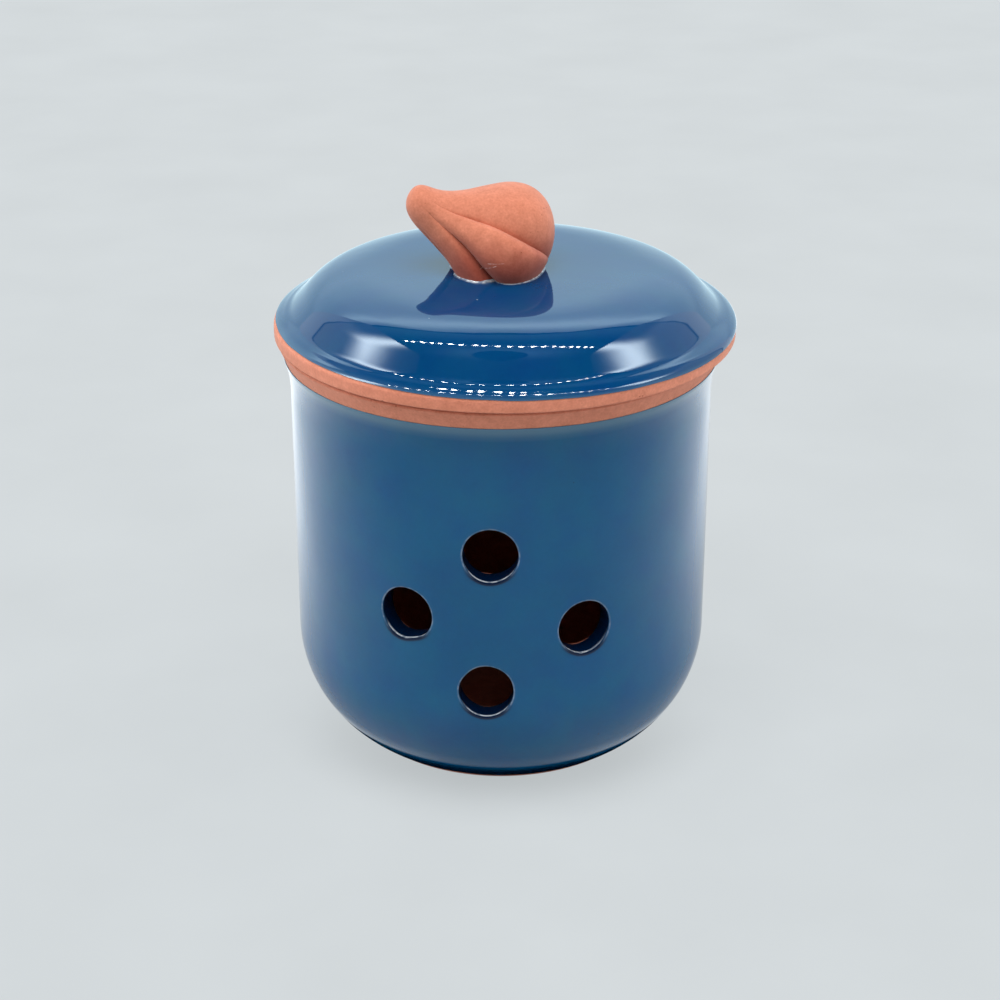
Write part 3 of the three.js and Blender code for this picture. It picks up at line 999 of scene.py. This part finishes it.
def hole_patch(holes, cell, half, wall_radius):
    """A square of the sheet with a round, lipped and lined hole in it. Its border has 8 * half points."""
    count = 8 * half

    def border(i):
        """One coordinate of a walk round the square, in cells."""
        return max(-half, min(half, abs(i % count - count // 2) - count // 4))

    square = [(border(i) * cell[0], border(i - count // 4) * cell[1]) for i in range(count)]
    around = [(math.cos(TURN * i / count), math.sin(TURN * i / count)) for i in range(count)]
    swell = 1 / (1 - (TURN / count) ** 2 / 6)  # the smoothing draws a ring in by this much
    throat = holes.radius - holes.lip_width
    collar_width, shoulder_width = 0.6 * MM, 0.3 * MM
    collar = (holes.radius + collar_width) * swell
    rings = []
    for part in (0, 1 / 3, 2 / 3, 1):
        ring = []
        for (sx, sy), (cx, cy) in zip(square, around):
            low = cy * collar - holes.droop * (1 - cy) / 2
            ring.append((sx + (cx * collar - sx) * part, sy + (low - sy) * part, 0))
        rings.append((ring, part))
    section = [(holes.radius + shoulder_width, 0)]
    for i in range(1, 5):
        at = math.pi / 2 * i / 4
        inward = throat + holes.lip_width * (1 - math.sin(at))
        section.append((inward, -holes.lip_depth * (1 - math.cos(at))))
    lining = ((0, 0.35), (0, 0.6), (0, 0.85), (0.12 * MM, 0.95), (0.5 * MM, 1), (1.15 * MM, 1))
    section += [(throat + wider, -share_deep * holes.lining_depth) for wider, share_deep in lining]
    for radius, depth in section:
        spread = wall_radius / (wall_radius + depth)
        ring = []
        for cx, cy in around:
            low = cy * radius * swell - holes.droop * (1 - cy) / 2
            ring.append((cx * radius * swell * spread, low, depth))
        rings.append((ring, 1))
    points = [point for ring, _ in rings for point in ring]
    rim = [part for ring, part in rings for _ in ring]
    outward = [value for _ in rings for cx, cy in around for value in (cx, cy, 0)]
    # Painted shade and pooled glaze: the lower half of each lip and the whole lining are darker
    pool, edge = [], []
    for k in range(len(rings)):  # from the square's border to the end of the lining
        for _, cy in around:
            low = fade(-cy, 0.3, 0.85)
            pools = (0, 0, 0, 0.1 * low, low, low, max(low, 0.6), 1 - 0.5 * low)
            pool.append(pools[k] if k < len(pools) else 1)
            # Painted highlight: a pale line round the upper rim and a brighter one along the lower lip
            edge.append({5: 0.3 * (1 - low), 7: 0.9 * low}.get(k, 0))
    return helper_object(
        "hole_patch",
        points,
        tube_faces(len(rings), count),
        rim=("FLOAT", rim),
        outward=("FLOAT_VECTOR", outward),
        glaze_pool=("FLOAT", pool),
        glaze_edge=("FLOAT", edge),
    )


def flat_sheet(columns, rows, cell, windows, half):
    """The coat unrolled, without the windows that hold the holes."""
    xs = [(i - columns / 2) * cell[0] for i in range(columns + 1)]
    points = [(x, j * cell[1], 0) for j in range(rows + 1) for x in xs]
    faces = []
    for j in range(rows):
        for i in range(columns):
            if not any(wi - half <= i < wi + half and wj - half <= j < wj + half for wi, wj in windows):
                start = j * (columns + 1) + i
                faces.append((start, start + 1, start + columns + 2, start + columns + 1))
    return helper_object("coat_sheet", points, faces)


def make_jar_glaze(scene):
    jar, holes, finish = scene.keeper_jar, scene.keeper_holes, scene.keeper_finish
    start = glaze_start(jar)
    belly = jar.belly_radius * (math.pi / 2 - start)
    whole = jar_outside(jar, 0, start, jar.glaze_top)
    tall = sum(math.hypot(b[0] - a[0], b[1] - a[1]) for a, b in zip(whole, whole[1:]))
    columns, rows, half = 128, 42, 4
    spare = 1.5 * MM  # the outline runs past the glaze's edge, for its waves
    cell = (TURN * jar.radius / columns, tall / rows)
    windows, points, shifts, dents = [], [], [], []
    for turn, z, dent in hole_places(holes):
        u, v = turn * jar.radius, belly + z - belly_height(jar)
        wi, wj = round(u / cell[0]), round(v / cell[1])
        windows.append((wi + columns // 2, wj))
        points.append((wi * cell[0], wj * cell[1], 0))
        shifts += [u - wi * cell[0], v - wj * cell[1], 0]
        dents += dent
    vectors = {"shift": ("FLOAT_VECTOR", shifts), "dent": ("FLOAT_VECTOR", dents)}
    helpers = {
        "Sheet": flat_sheet(columns, rows, cell, windows, half),
        "Patch": hole_patch(holes, cell, half, jar.radius),
        "Places": helper_object("hole_places", points, **vectors),
        "Outline": outline_curve("coat_outline", jar_outside(jar, 0, start, jar.glaze_top + spare)),
    }
    material = glaze_material(finish, "keeper_jar_glaze", finish.jar_glaze)
    values = {"Radius": jar.radius, "Sheet Height": tall, "Unevenness": 0.05 * MM}
    values.update({"Edge Wave": 0.3 * MM, "Rim Wobble": 0.16 * MM, "Seed": 3.0, "Material": material})
    made = run_tree("jar_glaze_coat", pierced_coat_tree(), {**helpers, **values}, helpers.values())
    mark_jar_edges(made.data, jar)
    coat = made.modifiers.new("Coat", "SOLIDIFY")
    coat.thickness = finish.coat
    coat.offset = -1
    coat.use_rim = True
    apply_modifiers(made)
    soft = made.modifiers.new("Soft edge", "BEVEL")
    soft.width = 0.07 * MM
    soft.segments = 2
    soft.limit_method = "ANGLE"
    soft.angle_limit = math.radians(50)
    apply_modifiers(made)
    made.data.set_sharp_from_angle(angle=math.radians(60))
    dress(made, material, "jar", "blue_glaze", "jar_glaze")


def mark_jar_edges(mesh, jar):
    """The glaze lies thin at the jar's rim. Above the foot it is darker, as painted shade. The air holes
    keep the pooling and painted shade of their patches.
    """
    thin_band, painted_shade_band = (0.5 * MM, 3.4 * MM), (4.8 * MM, 6.6 * MM)
    pool = [0.0] * len(mesh.vertices)
    mesh.attributes["glaze_pool"].data.foreach_get("value", pool)
    heights = [vertex.co.z for vertex in mesh.vertices]
    thin = [0.95 * (1 - fade(jar.glaze_top - z, *thin_band)) for z in heights]
    # Painted shade: darker glaze above the foot, where the belly turns under
    pool = [min(1, old + 0.85 * (1 - fade(z, *painted_shade_band))) for old, z in zip(pool, heights)]
    mark_points(mesh, "glaze_thin", thin)
    mark_points(mesh, "glaze_pool", pool)


def make_lid_clay(scene):
    lid, finish = scene.keeper_lid, scene.keeper_finish
    material = terracotta_material(finish)
    made = turned_piece("lid_clay", lid_clay_outline(lid, finish.step), 128, 0.0, 2.0, material)
    made.data.transform(Matrix.Translation((lid.shift, 0, 0)))
    finish_solid(made, 40)
    dress(made, material, "lid", "terracotta", "lid_body")


def glaze_end(lid, turn):
    """Height at which the lid's glaze ends, at a turn from the front towards the right."""
    widest = lid.seat + lid.edge_height
    run = noise.noise(Vector((1.7 * math.sin(turn), 1.7 * math.cos(turn), 4.2)))
    fine = noise.noise(Vector((9 * math.sin(turn), 9 * math.cos(turn), 1.3)))
    run_height, fine_height = 0.18 * MM, 0.07 * MM
    wave = run_height * run + fine_height * fine
    return widest + lid.glaze_drop - lid.glaze_tilt * math.sin(turn) * 0.75 + wave


def beaded(line, lid):
    """A falling outline with the swelling that glaze forms just before it stops."""
    result = list(line)
    run = 0
    for k in range(len(line) - 2, 0, -1):
        along = Vector(line[k + 1]) - Vector(line[k - 1])
        run += (Vector(line[k + 1]) - Vector(line[k])).length
        out = Vector((-along.y, along.x)).normalized()
        swell = lid.bead * math.exp(-(((run - lid.bead_place) / lid.bead_width) ** 2))
        result[k] = tuple(Vector(line[k]) + out * swell)
    return result


def make_lid_glaze(scene):
    lid, finish = scene.keeper_lid, scene.keeper_finish
    outer, inner = lid_dome(lid, 0, math.pi / 2), lid_dome(lid, finish.coat, math.pi / 2)
    columns, crown_points, edge_points, bead_points = 192, 16, 60, 5
    crown_radius, undercut, roll, thin_reach = 33 * MM, 0.1 * MM, 0.12 * MM, 1.1 * MM
    split = next(i for i, point in enumerate(outer) if point[0] > crown_radius)
    crown_out, crown_in = (
        resampled([(lid.opening, line[0][1])] + line[1:split + 1], crown_points) for line in (outer, inner)
    )
    points, thin = [], []
    for c in range(columns):
        turn = TURN * c / columns
        end = glaze_end(lid, turn)
        edge_out = beaded(resampled(down_to(outer[split:], end), edge_points)[1:], lid)
        edge_in = resampled(down_to(inner[split:], end + undercut), edge_points)[1:]
        (r0, z0), (r1, z1) = edge_out[-1], edge_out[-2]
        run = Vector((r0 - r1, z0 - z1)).normalized()
        out = Vector((-run.y, run.x))
        centre = (Vector(edge_out[-1]) + Vector(edge_in[-1])) / 2
        bead = []
        for i in range(1, bead_points):
            at = math.pi * i / bead_points
            bead.append(centre + out * (finish.coat / 2 * math.cos(at)) + run * (roll * math.sin(at)))
        outline = crown_out + edge_out + [tuple(p) for p in bead] + edge_in[::-1] + crown_in[::-1]
        for r, z in outline:
            points.append((lid.shift + r * math.sin(turn), -r * math.cos(turn), z))
            thin.append(0.5 * max(0, 1 - (z - end) / thin_reach) ** 2)
    made = mesh_object("lid_glaze_coat", points, closed_ring_faces(columns, len(outline)))
    mark_points(made.data, "glaze_thin", thin)
    finish_solid(made, 60)
    dress(made, lid_glaze_material(finish), "lid", "blue_glaze", "lid_glaze")


# The garlic-bulb knob

GIRTH_SHARES = (1.23, 1.29, 1.115, 0.655, 0.145, 0.67)  # from root to tip, as Bernstein weights
CREASES = ((-1.38, 0.95, 0.6), (-0.36, 0.95, 0.6), (0.47, 0.2, 0.5), (2.22, 0, 0), (3.57, 0.2, 0))
CREASE_FADE, LINE_FADE = (0.55, 0.92), (0.0, 0.12)  # where creases end and fine lines start, along the bulb
LINE_WIDTH_SHARE = 0.035
LOWER_EDGE, UPPER_EDGE = 2.3, 6  # how abruptly a clove turns in at its two edges
FLATTENED = (0, 0, 0, 0, 0.12)  # how much flatter the middle of a clove is, as a share of the girth
CREEP_SECTION = (
    (-0.5, 0.85), (-0.05, 0.62), (0.12, 0.36), (0.35, 0.16), (0.65, 0.05), (1, 0), (0.6, -0.2), (-0.5, -0.2),
)
# Painted highlight: a pale line along the glaze that creeps up round the knob
CREEP_MARKS = (0, 1, 1, 0.9, 0.35, 0, 0, 0)  # how much of the pale line shows along that section


def bernstein(weights, t):
    degree = len(weights) - 1
    return sum(w * math.comb(degree, i) * t**i * (1 - t) ** (degree - i) for i, w in enumerate(weights))


def bulb_ring(knob, t, per_clove):
    """One ring of the bulb about its own axis, with its columns gathered towards the creases."""
    girth = knob.radius * 2 * math.sqrt(max(0, t * (1 - t))) * bernstein(GIRTH_SHARES, t)
    axis = knob.sway * math.sin(TURN * t) + knob.bow * -math.sin(1.5 * TURN * t) - 4 * knob.sag * t * (1 - t)
    middle = t - 0.5
    starts = [at + twist * middle + curl * middle**2 for at, twist, curl in CREASES]
    starts.append(starts[0] + TURN)
    run = 1 - fade(t, *CREASE_FADE)
    ring = []
    for first, second, flatter in zip(starts, starts[1:], FLATTENED):
        for k in range(per_clove):
            across = math.sin(math.pi * (k / per_clove - 0.5))
            at = first + (second - first) * (across + 1) / 2
            full = 1 - knob.lobe_depth * run * abs(across) ** (UPPER_EDGE if across > 0 else LOWER_EDGE)
            full -= flatter * run * (1 - across**4)
            beside = (1 - abs(across)) / LINE_WIDTH_SHARE
            cut = knob.incision * run * math.exp(-(beside**2)) * fade(t, *LINE_FADE)
            reach = max(0, girth * full - cut)
            ring.append(Vector((knob.length * t, reach * math.cos(at), reach * math.sin(at) + axis)))
    return ring


def knob_place(lid, knob):
    """From the bulb's own axis to its place on the lid."""
    return (
        Matrix.Translation((lid.shift + knob.root_x, knob.root_y, lid.crown + knob.root_rise))
        @ Matrix.Rotation(math.pi + knob.heading, 4, "Z")
        @ Matrix.Rotation(-knob.tilt, 4, "Y")
    )


def crown_height(lid, radius):
    return lid.crown - lid.crown_curve + math.sqrt(lid.crown_curve**2 - radius**2)


def hand_marks(knob, point):
    """Height of the uneven surface that fingers leave on soft clay."""
    slow = noise.noise(point * 95) * 0.9
    quick = noise.noise(point * 260 + Vector((3, 1, 7))) * 0.35
    grain = noise.noise(Vector((point.x * 320, point.y * 900, point.z * 900))) * 0.14
    return knob.unevenness * (slow + quick + grain)


def bulb_mesh(knob):
    """The whole bulb about its own axis, closed at root and tip."""
    rings, per_clove = 84, 20
    count = per_clove * len(CREASES)
    shares = [(1 - math.cos(math.pi * i / rings)) / 2 for i in range(1, rings)]
    points = [(0, 0, 0)]
    for t in shares:
        points += bulb_ring(knob, t, per_clove)
    points.append((knob.length, 0, 0))
    last_ring, tip = 1 + (rings - 2) * count, len(points) - 1
    faces = [(0, 1 + (j + 1) % count, 1 + j) for j in range(count)]
    faces += tube_faces(rings - 1, count, first=1)
    faces += [(last_ring + j, last_ring + (j + 1) % count, tip) for j in range(count)]
    return mesh_object("garlic_knob", points, faces)


def make_knob(scene):
    lid, knob, finish = scene.keeper_lid, scene.keeper_knob, scene.keeper_finish
    made = bulb_mesh(knob)
    made.data.transform(knob_place(lid, knob))
    subdivide(made)
    work = bmesh.new()
    work.from_mesh(made.data)
    bmesh.ops.recalc_face_normals(work, faces=work.faces)
    work.normal_update()
    for vertex in work.verts:
        vertex.co += vertex.normal * hand_marks(knob, vertex.co)
    sunk = 0.1 * MM
    ground = (0, 0, crown_height(lid, 0) - sunk)
    parts = work.verts[:] + work.edges[:] + work.faces[:]
    cut = bmesh.ops.bisect_plane(work, geom=parts, plane_co=ground, plane_no=(0, 0, -1), clear_outer=True)
    rim = [edge for edge in cut["geom_cut"] if isinstance(edge, bmesh.types.BMEdge)]
    outline = ordered_loop(rim)
    bmesh.ops.holes_fill(work, edges=rim)
    work.to_mesh(made.data)
    work.free()
    finish_solid(made, 55)
    # Painted shade on the knob: its clay is drawn darker towards the lid, where shade falls
    darkest_below, plain_above = 2 * MM, 13 * MM
    shade = (lid.crown + darkest_below, lid.crown + plain_above, (0.58, 0.38, 0.4))
    material = clay_material("knob_clay", finish.knob, finish.clay_roughness, 0.2, 0.34, shade)
    dress(made, material, "lid", "terracotta", "clove_knob")
    make_creep(lid, knob, finish, outline)
    make_slip(lid, knob, finish)


def ordered_loop(edges):
    """The corners of a closed ring of edges, in order."""
    following = {}
    for edge in edges:
        for a, b in (edge.verts, reversed(edge.verts)):
            following.setdefault(a, []).append(b)
    loop = [edges[0].verts[0]]
    before, here = None, loop[0]
    while True:
        before, here = here, next(v for v in following[here] if v is not before)
        if here is loop[0]:
            return [v.co.copy() for v in loop]
        loop.append(here)


def make_creep(lid, knob, finish, outline):
    """The glaze that creeps up round the knob."""
    middle = sum(outline, Vector()) / len(outline)
    count, lift = 144, 0.01 * MM
    spokes = sorted((math.atan2(p.y - middle.y, p.x - middle.x), (p - middle).length) for p in outline)
    spokes = [(spokes[-1][0] - TURN, spokes[-1][1])] + spokes + [(spokes[0][0] + TURN, spokes[0][1])]
    points = []
    for i in range(count):
        at = -math.pi + TURN * i / count
        k = next(n for n in range(len(spokes) - 1) if spokes[n + 1][0] >= at)
        (a0, r0), (a1, r1) = spokes[k], spokes[k + 1]
        radius = r0 + (r1 - r0) * (at - a0) / max(a1 - a0, 1e-9)
        swell = 1 + 0.35 * noise.noise(Vector((2.2 * math.cos(at), 2.2 * math.sin(at), 0.7)))
        for out, up in CREEP_SECTION:
            r = radius + out * knob.fillet * (swell if out > 0 else 1)
            x, y = middle.x + r * math.cos(at), middle.y + r * math.sin(at)
            ground = crown_height(lid, math.hypot(x - lid.shift, y))
            points.append((x, y, ground + lift + up * knob.fillet * swell))
    creep = mesh_object("knob_glaze_creep", points, closed_ring_faces(count, len(CREEP_SECTION)))
    mark_points(creep.data, "glaze_edge", CREEP_MARKS * count)
    subdivide(creep)
    finish_solid(creep, 80)
    dress(creep, lid_glaze_material(finish), "lid", "blue_glaze")


def make_slip(lid, knob, finish):
    """The fired slip under the knob."""
    depth, unevenness = 0.5 * MM, 0.4 * MM
    low = lid.crown - depth
    section = ((0, 0), (0.8, 0), (0.93, 0.08), (0.96, 0.2), (0.9, 0.34), (0.8, 0.38), (0, 0.38))
    outline = [(knob.slip_radius * out, low + up * MM) for out, up in section]
    material = clay_material("slip_clay", finish.slip, 0.9, 0.2, 0.2)
    slip = turned_piece("knob_slip_bed", outline, 64, unevenness, 5.0, material)
    slip.data.transform(Matrix.Translation((lid.shift, 0, 0)))
    finish_solid(slip, 50)
    dress(slip, material, "lid", "fired_slip", "knob_slip")


# The studio


def only_mirrored(made):
    """A card that only the gloss on the glaze can see."""
    for ray in ("camera", "diffuse", "shadow", "transmission", "volume_scatter"):
        setattr(made, f"visible_{ray}", False)


def glow_material(name, build, tint):
    """An emitter whose strength a function builds from the object's coordinates."""
    made = bpy.data.materials.new(name)
    made.use_nodes = True
    tree = made.node_tree
    tree.nodes.remove(tree.nodes["Principled BSDF"])
    strength = build(separate(object_place(tree)))
    glow = add_node(tree, "ShaderNodeEmission", {"Color": tint, "Strength": strength})
    fill(tree, tree.nodes["Material Output"], {"Surface": glow[0]})
    return made


def card(name, corners, material):
    made = mesh_object(name, corners, [(0, 1, 2, 3)])
    made.data.materials.append(material)
    return made


def bell(value, centre, width):
    """1 at the centre, falling off smoothly on both sides."""
    away = (value - centre) / width
    return math.e ** (away * away * -1.0)


def length_of(x, y):
    return (x * x + y * y).math("SQRT")


def back_wall_glow(place):
    """Even, with a brighter band just under the roof."""
    brighter_above, band_height, band_width = (163 * MM, 194 * MM), 345 * MM, 40 * MM
    upper = smooth_step(place[2], *brighter_above) * 0.33
    return upper + 1.2 + bell(place[2], band_height, band_width) * 2.0


def side_wall_glow(place):
    """Dim, with a very bright patch at the end of the diode row and a dark slanting seam near the back."""
    patch_lean, patch_ahead, patch_width, patch_above = -0.085, 19 * MM, 38 * MM, (236 * MM, 285 * MM)
    seam_foot, seam_back, seam_bend, seam_width = 160 * MM, 110 * MM, 1.3, 3.5 * MM
    dimmer_above, brighter_behind, corner = (290 * MM, 350 * MM), (-170 * MM, -60 * MM), (-1 * MM, 1 * MM)
    middle = place[0] * patch_lean - patch_ahead
    patch = bell(place[1], middle, patch_width) * smooth_step(place[2], *patch_above)
    rise = (place[2] - seam_foot).math("MAXIMUM", 0.0)
    past = place[1] - (rise * rise * seam_bend + seam_back)
    level = 0.95 - smooth_step(place[2], *dimmer_above) * 0.5 + patch * 16.0
    level = level + smooth_step(past, *corner) * 0.55
    seam = 1.0 - bell(past, 0.0, seam_width) * 0.9
    return level * seam * (smooth_step(place[1], *brighter_behind) * 0.85 + 0.15)


def roof_glow(place):
    """Dark cloth, a little lighter round the diodes, with a dark round opening in front of them."""
    brighter_behind, seam_edge, opening_edge = (10 * MM, 150 * MM), (165 * MM, 172 * MM), (58 * MM, 62 * MM)
    glow_place, glow_depth, glow_width = -95 * MM, 62 * MM, 120 * MM
    opening_left, opening_ahead = 10 * MM, 124 * MM
    back = smooth_step(place[1], *brighter_behind) * 0.45
    seam = 1.0 - smooth_step(place[1], *seam_edge)
    near = bell(place[1], glow_place, glow_depth) * bell(place[0], 0.0, glow_width)
    away = length_of(place[0] + opening_left, place[1] + opening_ahead)
    outside = smooth_step(away, *opening_edge)
    return back * seam + near * outside * 1.3 + 0.015


def diode_glow(place):
    """The same all over."""
    return 150.0


def make_tent(studio):
    """The walls and roof that the glaze mirrors."""
    w, back, front = studio.tent_half_width, studio.tent_back, -studio.tent_front
    low, top = studio.tent_foot, studio.tent_top
    wall = glow_material("tent_back", back_wall_glow, (0.74, 1.0, 1.1))
    corners = [(-w, back, low), (w, back, low), (w, back, top), (-w, back, top)]
    only_mirrored(card("tent_back", corners, wall))
    side = glow_material("tent_side", side_wall_glow, (0.84, 0.98, 1.05))
    for name, x in (("tent_left", -w), ("tent_right", w)):
        corners = [(x, front, low), (x, back, low), (x, back, top), (x, front, top)]
        only_mirrored(card(name, corners, side))
    roof = glow_material("tent_roof", roof_glow, (0.45, 0.9, 1.25))
    corners = [(-w, front, top), (w, front, top), (w, back, top), (-w, back, top)]
    only_mirrored(card("tent_roof", corners, roof))
    start, end = Vector((-184, 18, 418)) * MM, Vector((182, -42, 418)) * MM  # just under the roof
    values = {"Count": studio.lamp_count, "Start": start, "Step": (end - start) / (studio.lamp_count - 1)}
    values.update({"Radius": studio.lamp_size, "Seed": 4})
    values["Material"] = glow_material("diodes", diode_glow, (0.93, 0.98, 1.0))
    only_mirrored(run_tree("diode_row", diode_row_tree(), values, []))


def floor_material(studio):
    """Pale floor. In the gloss on the glaze it also shows a painted pool of light beside the jar, a painted
    bright ring round the foot and painted black under the jar. For the camera it has a painted shadow in
    front of the jar's foot.
    """
    pool_left, pool_right, pool_behind = (-44 * MM, -132 * MM), (58 * MM, 150 * MM), (-170 * MM, 120 * MM)
    foot_edge, ring_band = (40.2 * MM, 41.6 * MM), (41.6 * MM, 47 * MM)
    beside_band, far_edge = (6 * MM, 30 * MM), (125 * MM, 60 * MM)
    contact_edge, ahead_edge = (60 * MM, 38 * MM), (5 * MM, -38 * MM)
    made, tree, shader = new_material("floor")
    place = object_place(tree)
    tone = noise_value(place, 18.0, 4.0) * 0.1 + 0.95
    paper = mixed_colour(tree, 1.0, studio.floor, combine(tree, tone, tone, tone), "MULTIPLY")
    at = separate(place)
    beside = smooth_step(at[0], *pool_left) + smooth_step(at[0], *pool_right) * 0.85
    behind = smooth_step(at[1], *pool_behind)
    away = length_of(at[0], at[1])
    open_floor = smooth_step(away, *foot_edge)
    sides = smooth_step(at[0].math("ABSOLUTE"), *beside_band)
    ring = (1.0 - smooth_step(away, *ring_band)) * open_floor * 0.22 * (sides + 1.0)
    painted_glow_reach = smooth_step(away, *far_edge) * open_floor
    rays = add_node(tree, "ShaderNodeLightPath")
    # Painted light, seen only in the gloss: the pool beside and behind the jar, the ring round the foot and
    # the glow at the jar's sides
    pool = (beside * behind * 1.8 + (ring + sides * painted_glow_reach * 0.2)) * rays["Is Glossy Ray"]
    seen = rays["Is Camera Ray"] * studio.floor_glow
    # Painted shade: in the gloss the floor under the jar is black
    painted_shade_under_jar = rays["Is Glossy Ray"] * (1.0 - open_floor)
    # Painted shadow: the floor's glow dims in front of the jar's foot
    painted_front_shadow = smooth_step(away, *contact_edge) * (smooth_step(at[1], *ahead_edge) * 0.15)
    fill(tree, shader, {"Base Color": mixed_colour(tree, seen + painted_shade_under_jar, paper, BLACK)})
    fill(tree, shader, {"Roughness": 0.9, "Specular IOR Level": 0.0})
    fill(tree, shader, {"Emission Strength": pool + seen * (tone - painted_front_shadow)})
    fill(tree, shader, {"Emission Color": (0.675, 0.72, 0.74)})
    return made


def make_floor(studio):
    half, height = 4.0, -0.05 * MM  # it lies a hair under the jar's foot
    corners = [(-half, -half, height), (half, -half, height), (half, half, height), (-half, half, height)]
    card("floor", corners, floor_material(studio))


def make_world(studio):
    """Soft light, mostly from above and the sides. The camera sees the backdrop, the glaze the dark room."""
    world = bpy.data.worlds.new("studio")
    bpy.context.scene.world = world
    world.use_nodes = True
    tree = world.node_tree
    way = separate(add_node(tree, "ShaderNodeTexCoord")["Generated"])
    level = smooth_step(way[2], 0.55, 0.95) * studio.light_above
    for across, start, end, light in (
        (way[0], -0.35, -0.95, studio.light_left),
        (way[0], 0.35, 0.95, studio.light_right),
        (way[1], 0.2, 0.9, studio.light_behind),
        (way[1], -0.2, -0.9, studio.light_front),
    ):
        level = level + smooth_step(across, start, end) * light
    soft, seen, room = (
        add_node(tree, "ShaderNodeBackground", {"Color": tint, "Strength": strength})
        for tint, strength in (
            ((1.0, 0.995, 0.98), level + studio.light_around),
            ((0.66, 0.7, 0.72), 1.0),
            ((0.3, 0.33, 0.36), 0.12),
        )
    )
    ray = add_node(tree, "ShaderNodeLightPath")
    gloss = add_node(tree, "ShaderNodeMixShader", {0: ray["Is Glossy Ray"], 1: soft[0], 2: room[0]})
    both = add_node(tree, "ShaderNodeMixShader", {0: ray["Is Camera Ray"], 1: gloss[0], 2: seen[0]})
    fill(tree, tree.nodes["World Output"], {"Surface": both[0]})
    tree.nodes.remove(tree.nodes["Background"])


def make_lamp(studio):
    """One broad light from above, as from the diodes and their cloth."""
    data = bpy.data.lights.new("roof_light", "SUN")
    data.energy = studio.sun
    data.angle = math.radians(50)
    data.color = (1.0, 0.99, 0.975)
    made = add_object("roof_light", data)
    made.location = (0, 0, 1)
    made.rotation_euler = (studio.sun_tilt, 0, 0)
    made.visible_glossy = False


def make_camera(studio):
    data = bpy.data.cameras.new("camera")
    data.sensor_width = 36
    data.lens = studio.lens
    data.clip_start = 0.01
    made = add_object("camera", data)
    made.location = (studio.camera_x, studio.camera_y, studio.camera_z)
    made.rotation_euler = (math.pi / 2 - studio.camera_pitch, 0, 0)
    bpy.context.scene.camera = made


def make_studio(scene):
    scene.view_settings.view_transform = "Standard"
    for make in (make_floor, make_tent, make_world, make_lamp, make_camera):
        make(scene.keeper_studio)


# The add-on


class KEEPER_OT_studio(bpy.types.Operator):
    """Makes the floor, the tent, the lamps and the camera"""

    bl_idname = "keeper.studio"
    bl_label = "Studio"

    def execute(self, context):
        make_studio(context.scene)
        return {"FINISHED"}


class KEEPER_OT_jar_clay(bpy.types.Operator):
    """Turns the clay jar and punches its air holes"""

    bl_idname = "keeper.jar_clay"
    bl_label = "Jar clay"

    def execute(self, context):
        make_jar_clay(context.scene)
        return {"FINISHED"}


class KEEPER_OT_jar_glaze(bpy.types.Operator):
    """Wraps the glaze round the jar and through its air holes"""

    bl_idname = "keeper.jar_glaze"
    bl_label = "Jar glaze"

    def execute(self, context):
        make_jar_glaze(context.scene)
        return {"FINISHED"}


class KEEPER_OT_lid_clay(bpy.types.Operator):
    """Turns the clay lid with its locating ring"""

    bl_idname = "keeper.lid_clay"
    bl_label = "Lid clay"

    def execute(self, context):
        make_lid_clay(context.scene)
        return {"FINISHED"}


class KEEPER_OT_lid_glaze(bpy.types.Operator):
    """Lays the glaze over the dome"""

    bl_idname = "keeper.lid_glaze"
    bl_label = "Lid glaze"

    def execute(self, context):
        make_lid_glaze(context.scene)
        return {"FINISHED"}


class KEEPER_OT_knob(bpy.types.Operator):
    """Models the garlic-bulb knob, the slip under it and the glaze round its foot"""

    bl_idname = "keeper.knob"
    bl_label = "Garlic knob"

    def execute(self, context):
        make_knob(context.scene)
        return {"FINISHED"}


OPERATORS = (
    KEEPER_OT_studio,
    KEEPER_OT_jar_clay,
    KEEPER_OT_jar_glaze,
    KEEPER_OT_lid_clay,
    KEEPER_OT_lid_glaze,
    KEEPER_OT_knob,
)
SETTINGS = {
    "keeper_jar": KeeperJar,
    "keeper_holes": KeeperHoles,
    "keeper_lid": KeeperLid,
    "keeper_knob": KeeperKnob,
    "keeper_finish": KeeperFinish,
    "keeper_studio": KeeperStudio,
}


class KEEPER_PT_panel(bpy.types.Panel):
    """Lists the pieces and their sizes"""

    bl_idname = "KEEPER_PT_panel"
    bl_label = "Garlic keeper"
    bl_space_type = "VIEW_3D"
    bl_region_type = "UI"
    bl_category = "Keeper"

    def draw(self, context):
        for operator in OPERATORS:
            self.layout.operator(operator.bl_idname)
        for name, group in SETTINGS.items():
            column = self.layout.column(heading=group.bl_rna.description)
            for label in group.__annotations__:
                column.prop(getattr(context.scene, name), label)


def register():
    for group in SETTINGS.values():
        bpy.utils.register_class(group)
    for operator in OPERATORS:
        bpy.utils.register_class(operator)
    bpy.utils.register_class(KEEPER_PT_panel)
    for name, group in SETTINGS.items():
        setattr(bpy.types.Scene, name, PointerProperty(type=group))


def unregister():
    for name in SETTINGS:
        delattr(bpy.types.Scene, name)
    bpy.utils.unregister_class(KEEPER_PT_panel)
    for operator in reversed(OPERATORS):
        bpy.utils.unregister_class(operator)
    for group in reversed(SETTINGS.values()):
        bpy.utils.unregister_class(group)


def main():
    register()
    bpy.ops.keeper.studio()
    bpy.ops.keeper.jar_clay()
    bpy.ops.keeper.jar_glaze()
    bpy.ops.keeper.lid_clay()
    bpy.ops.keeper.lid_glaze()
    bpy.ops.keeper.knob()


if __name__ == "__main__":
    main()
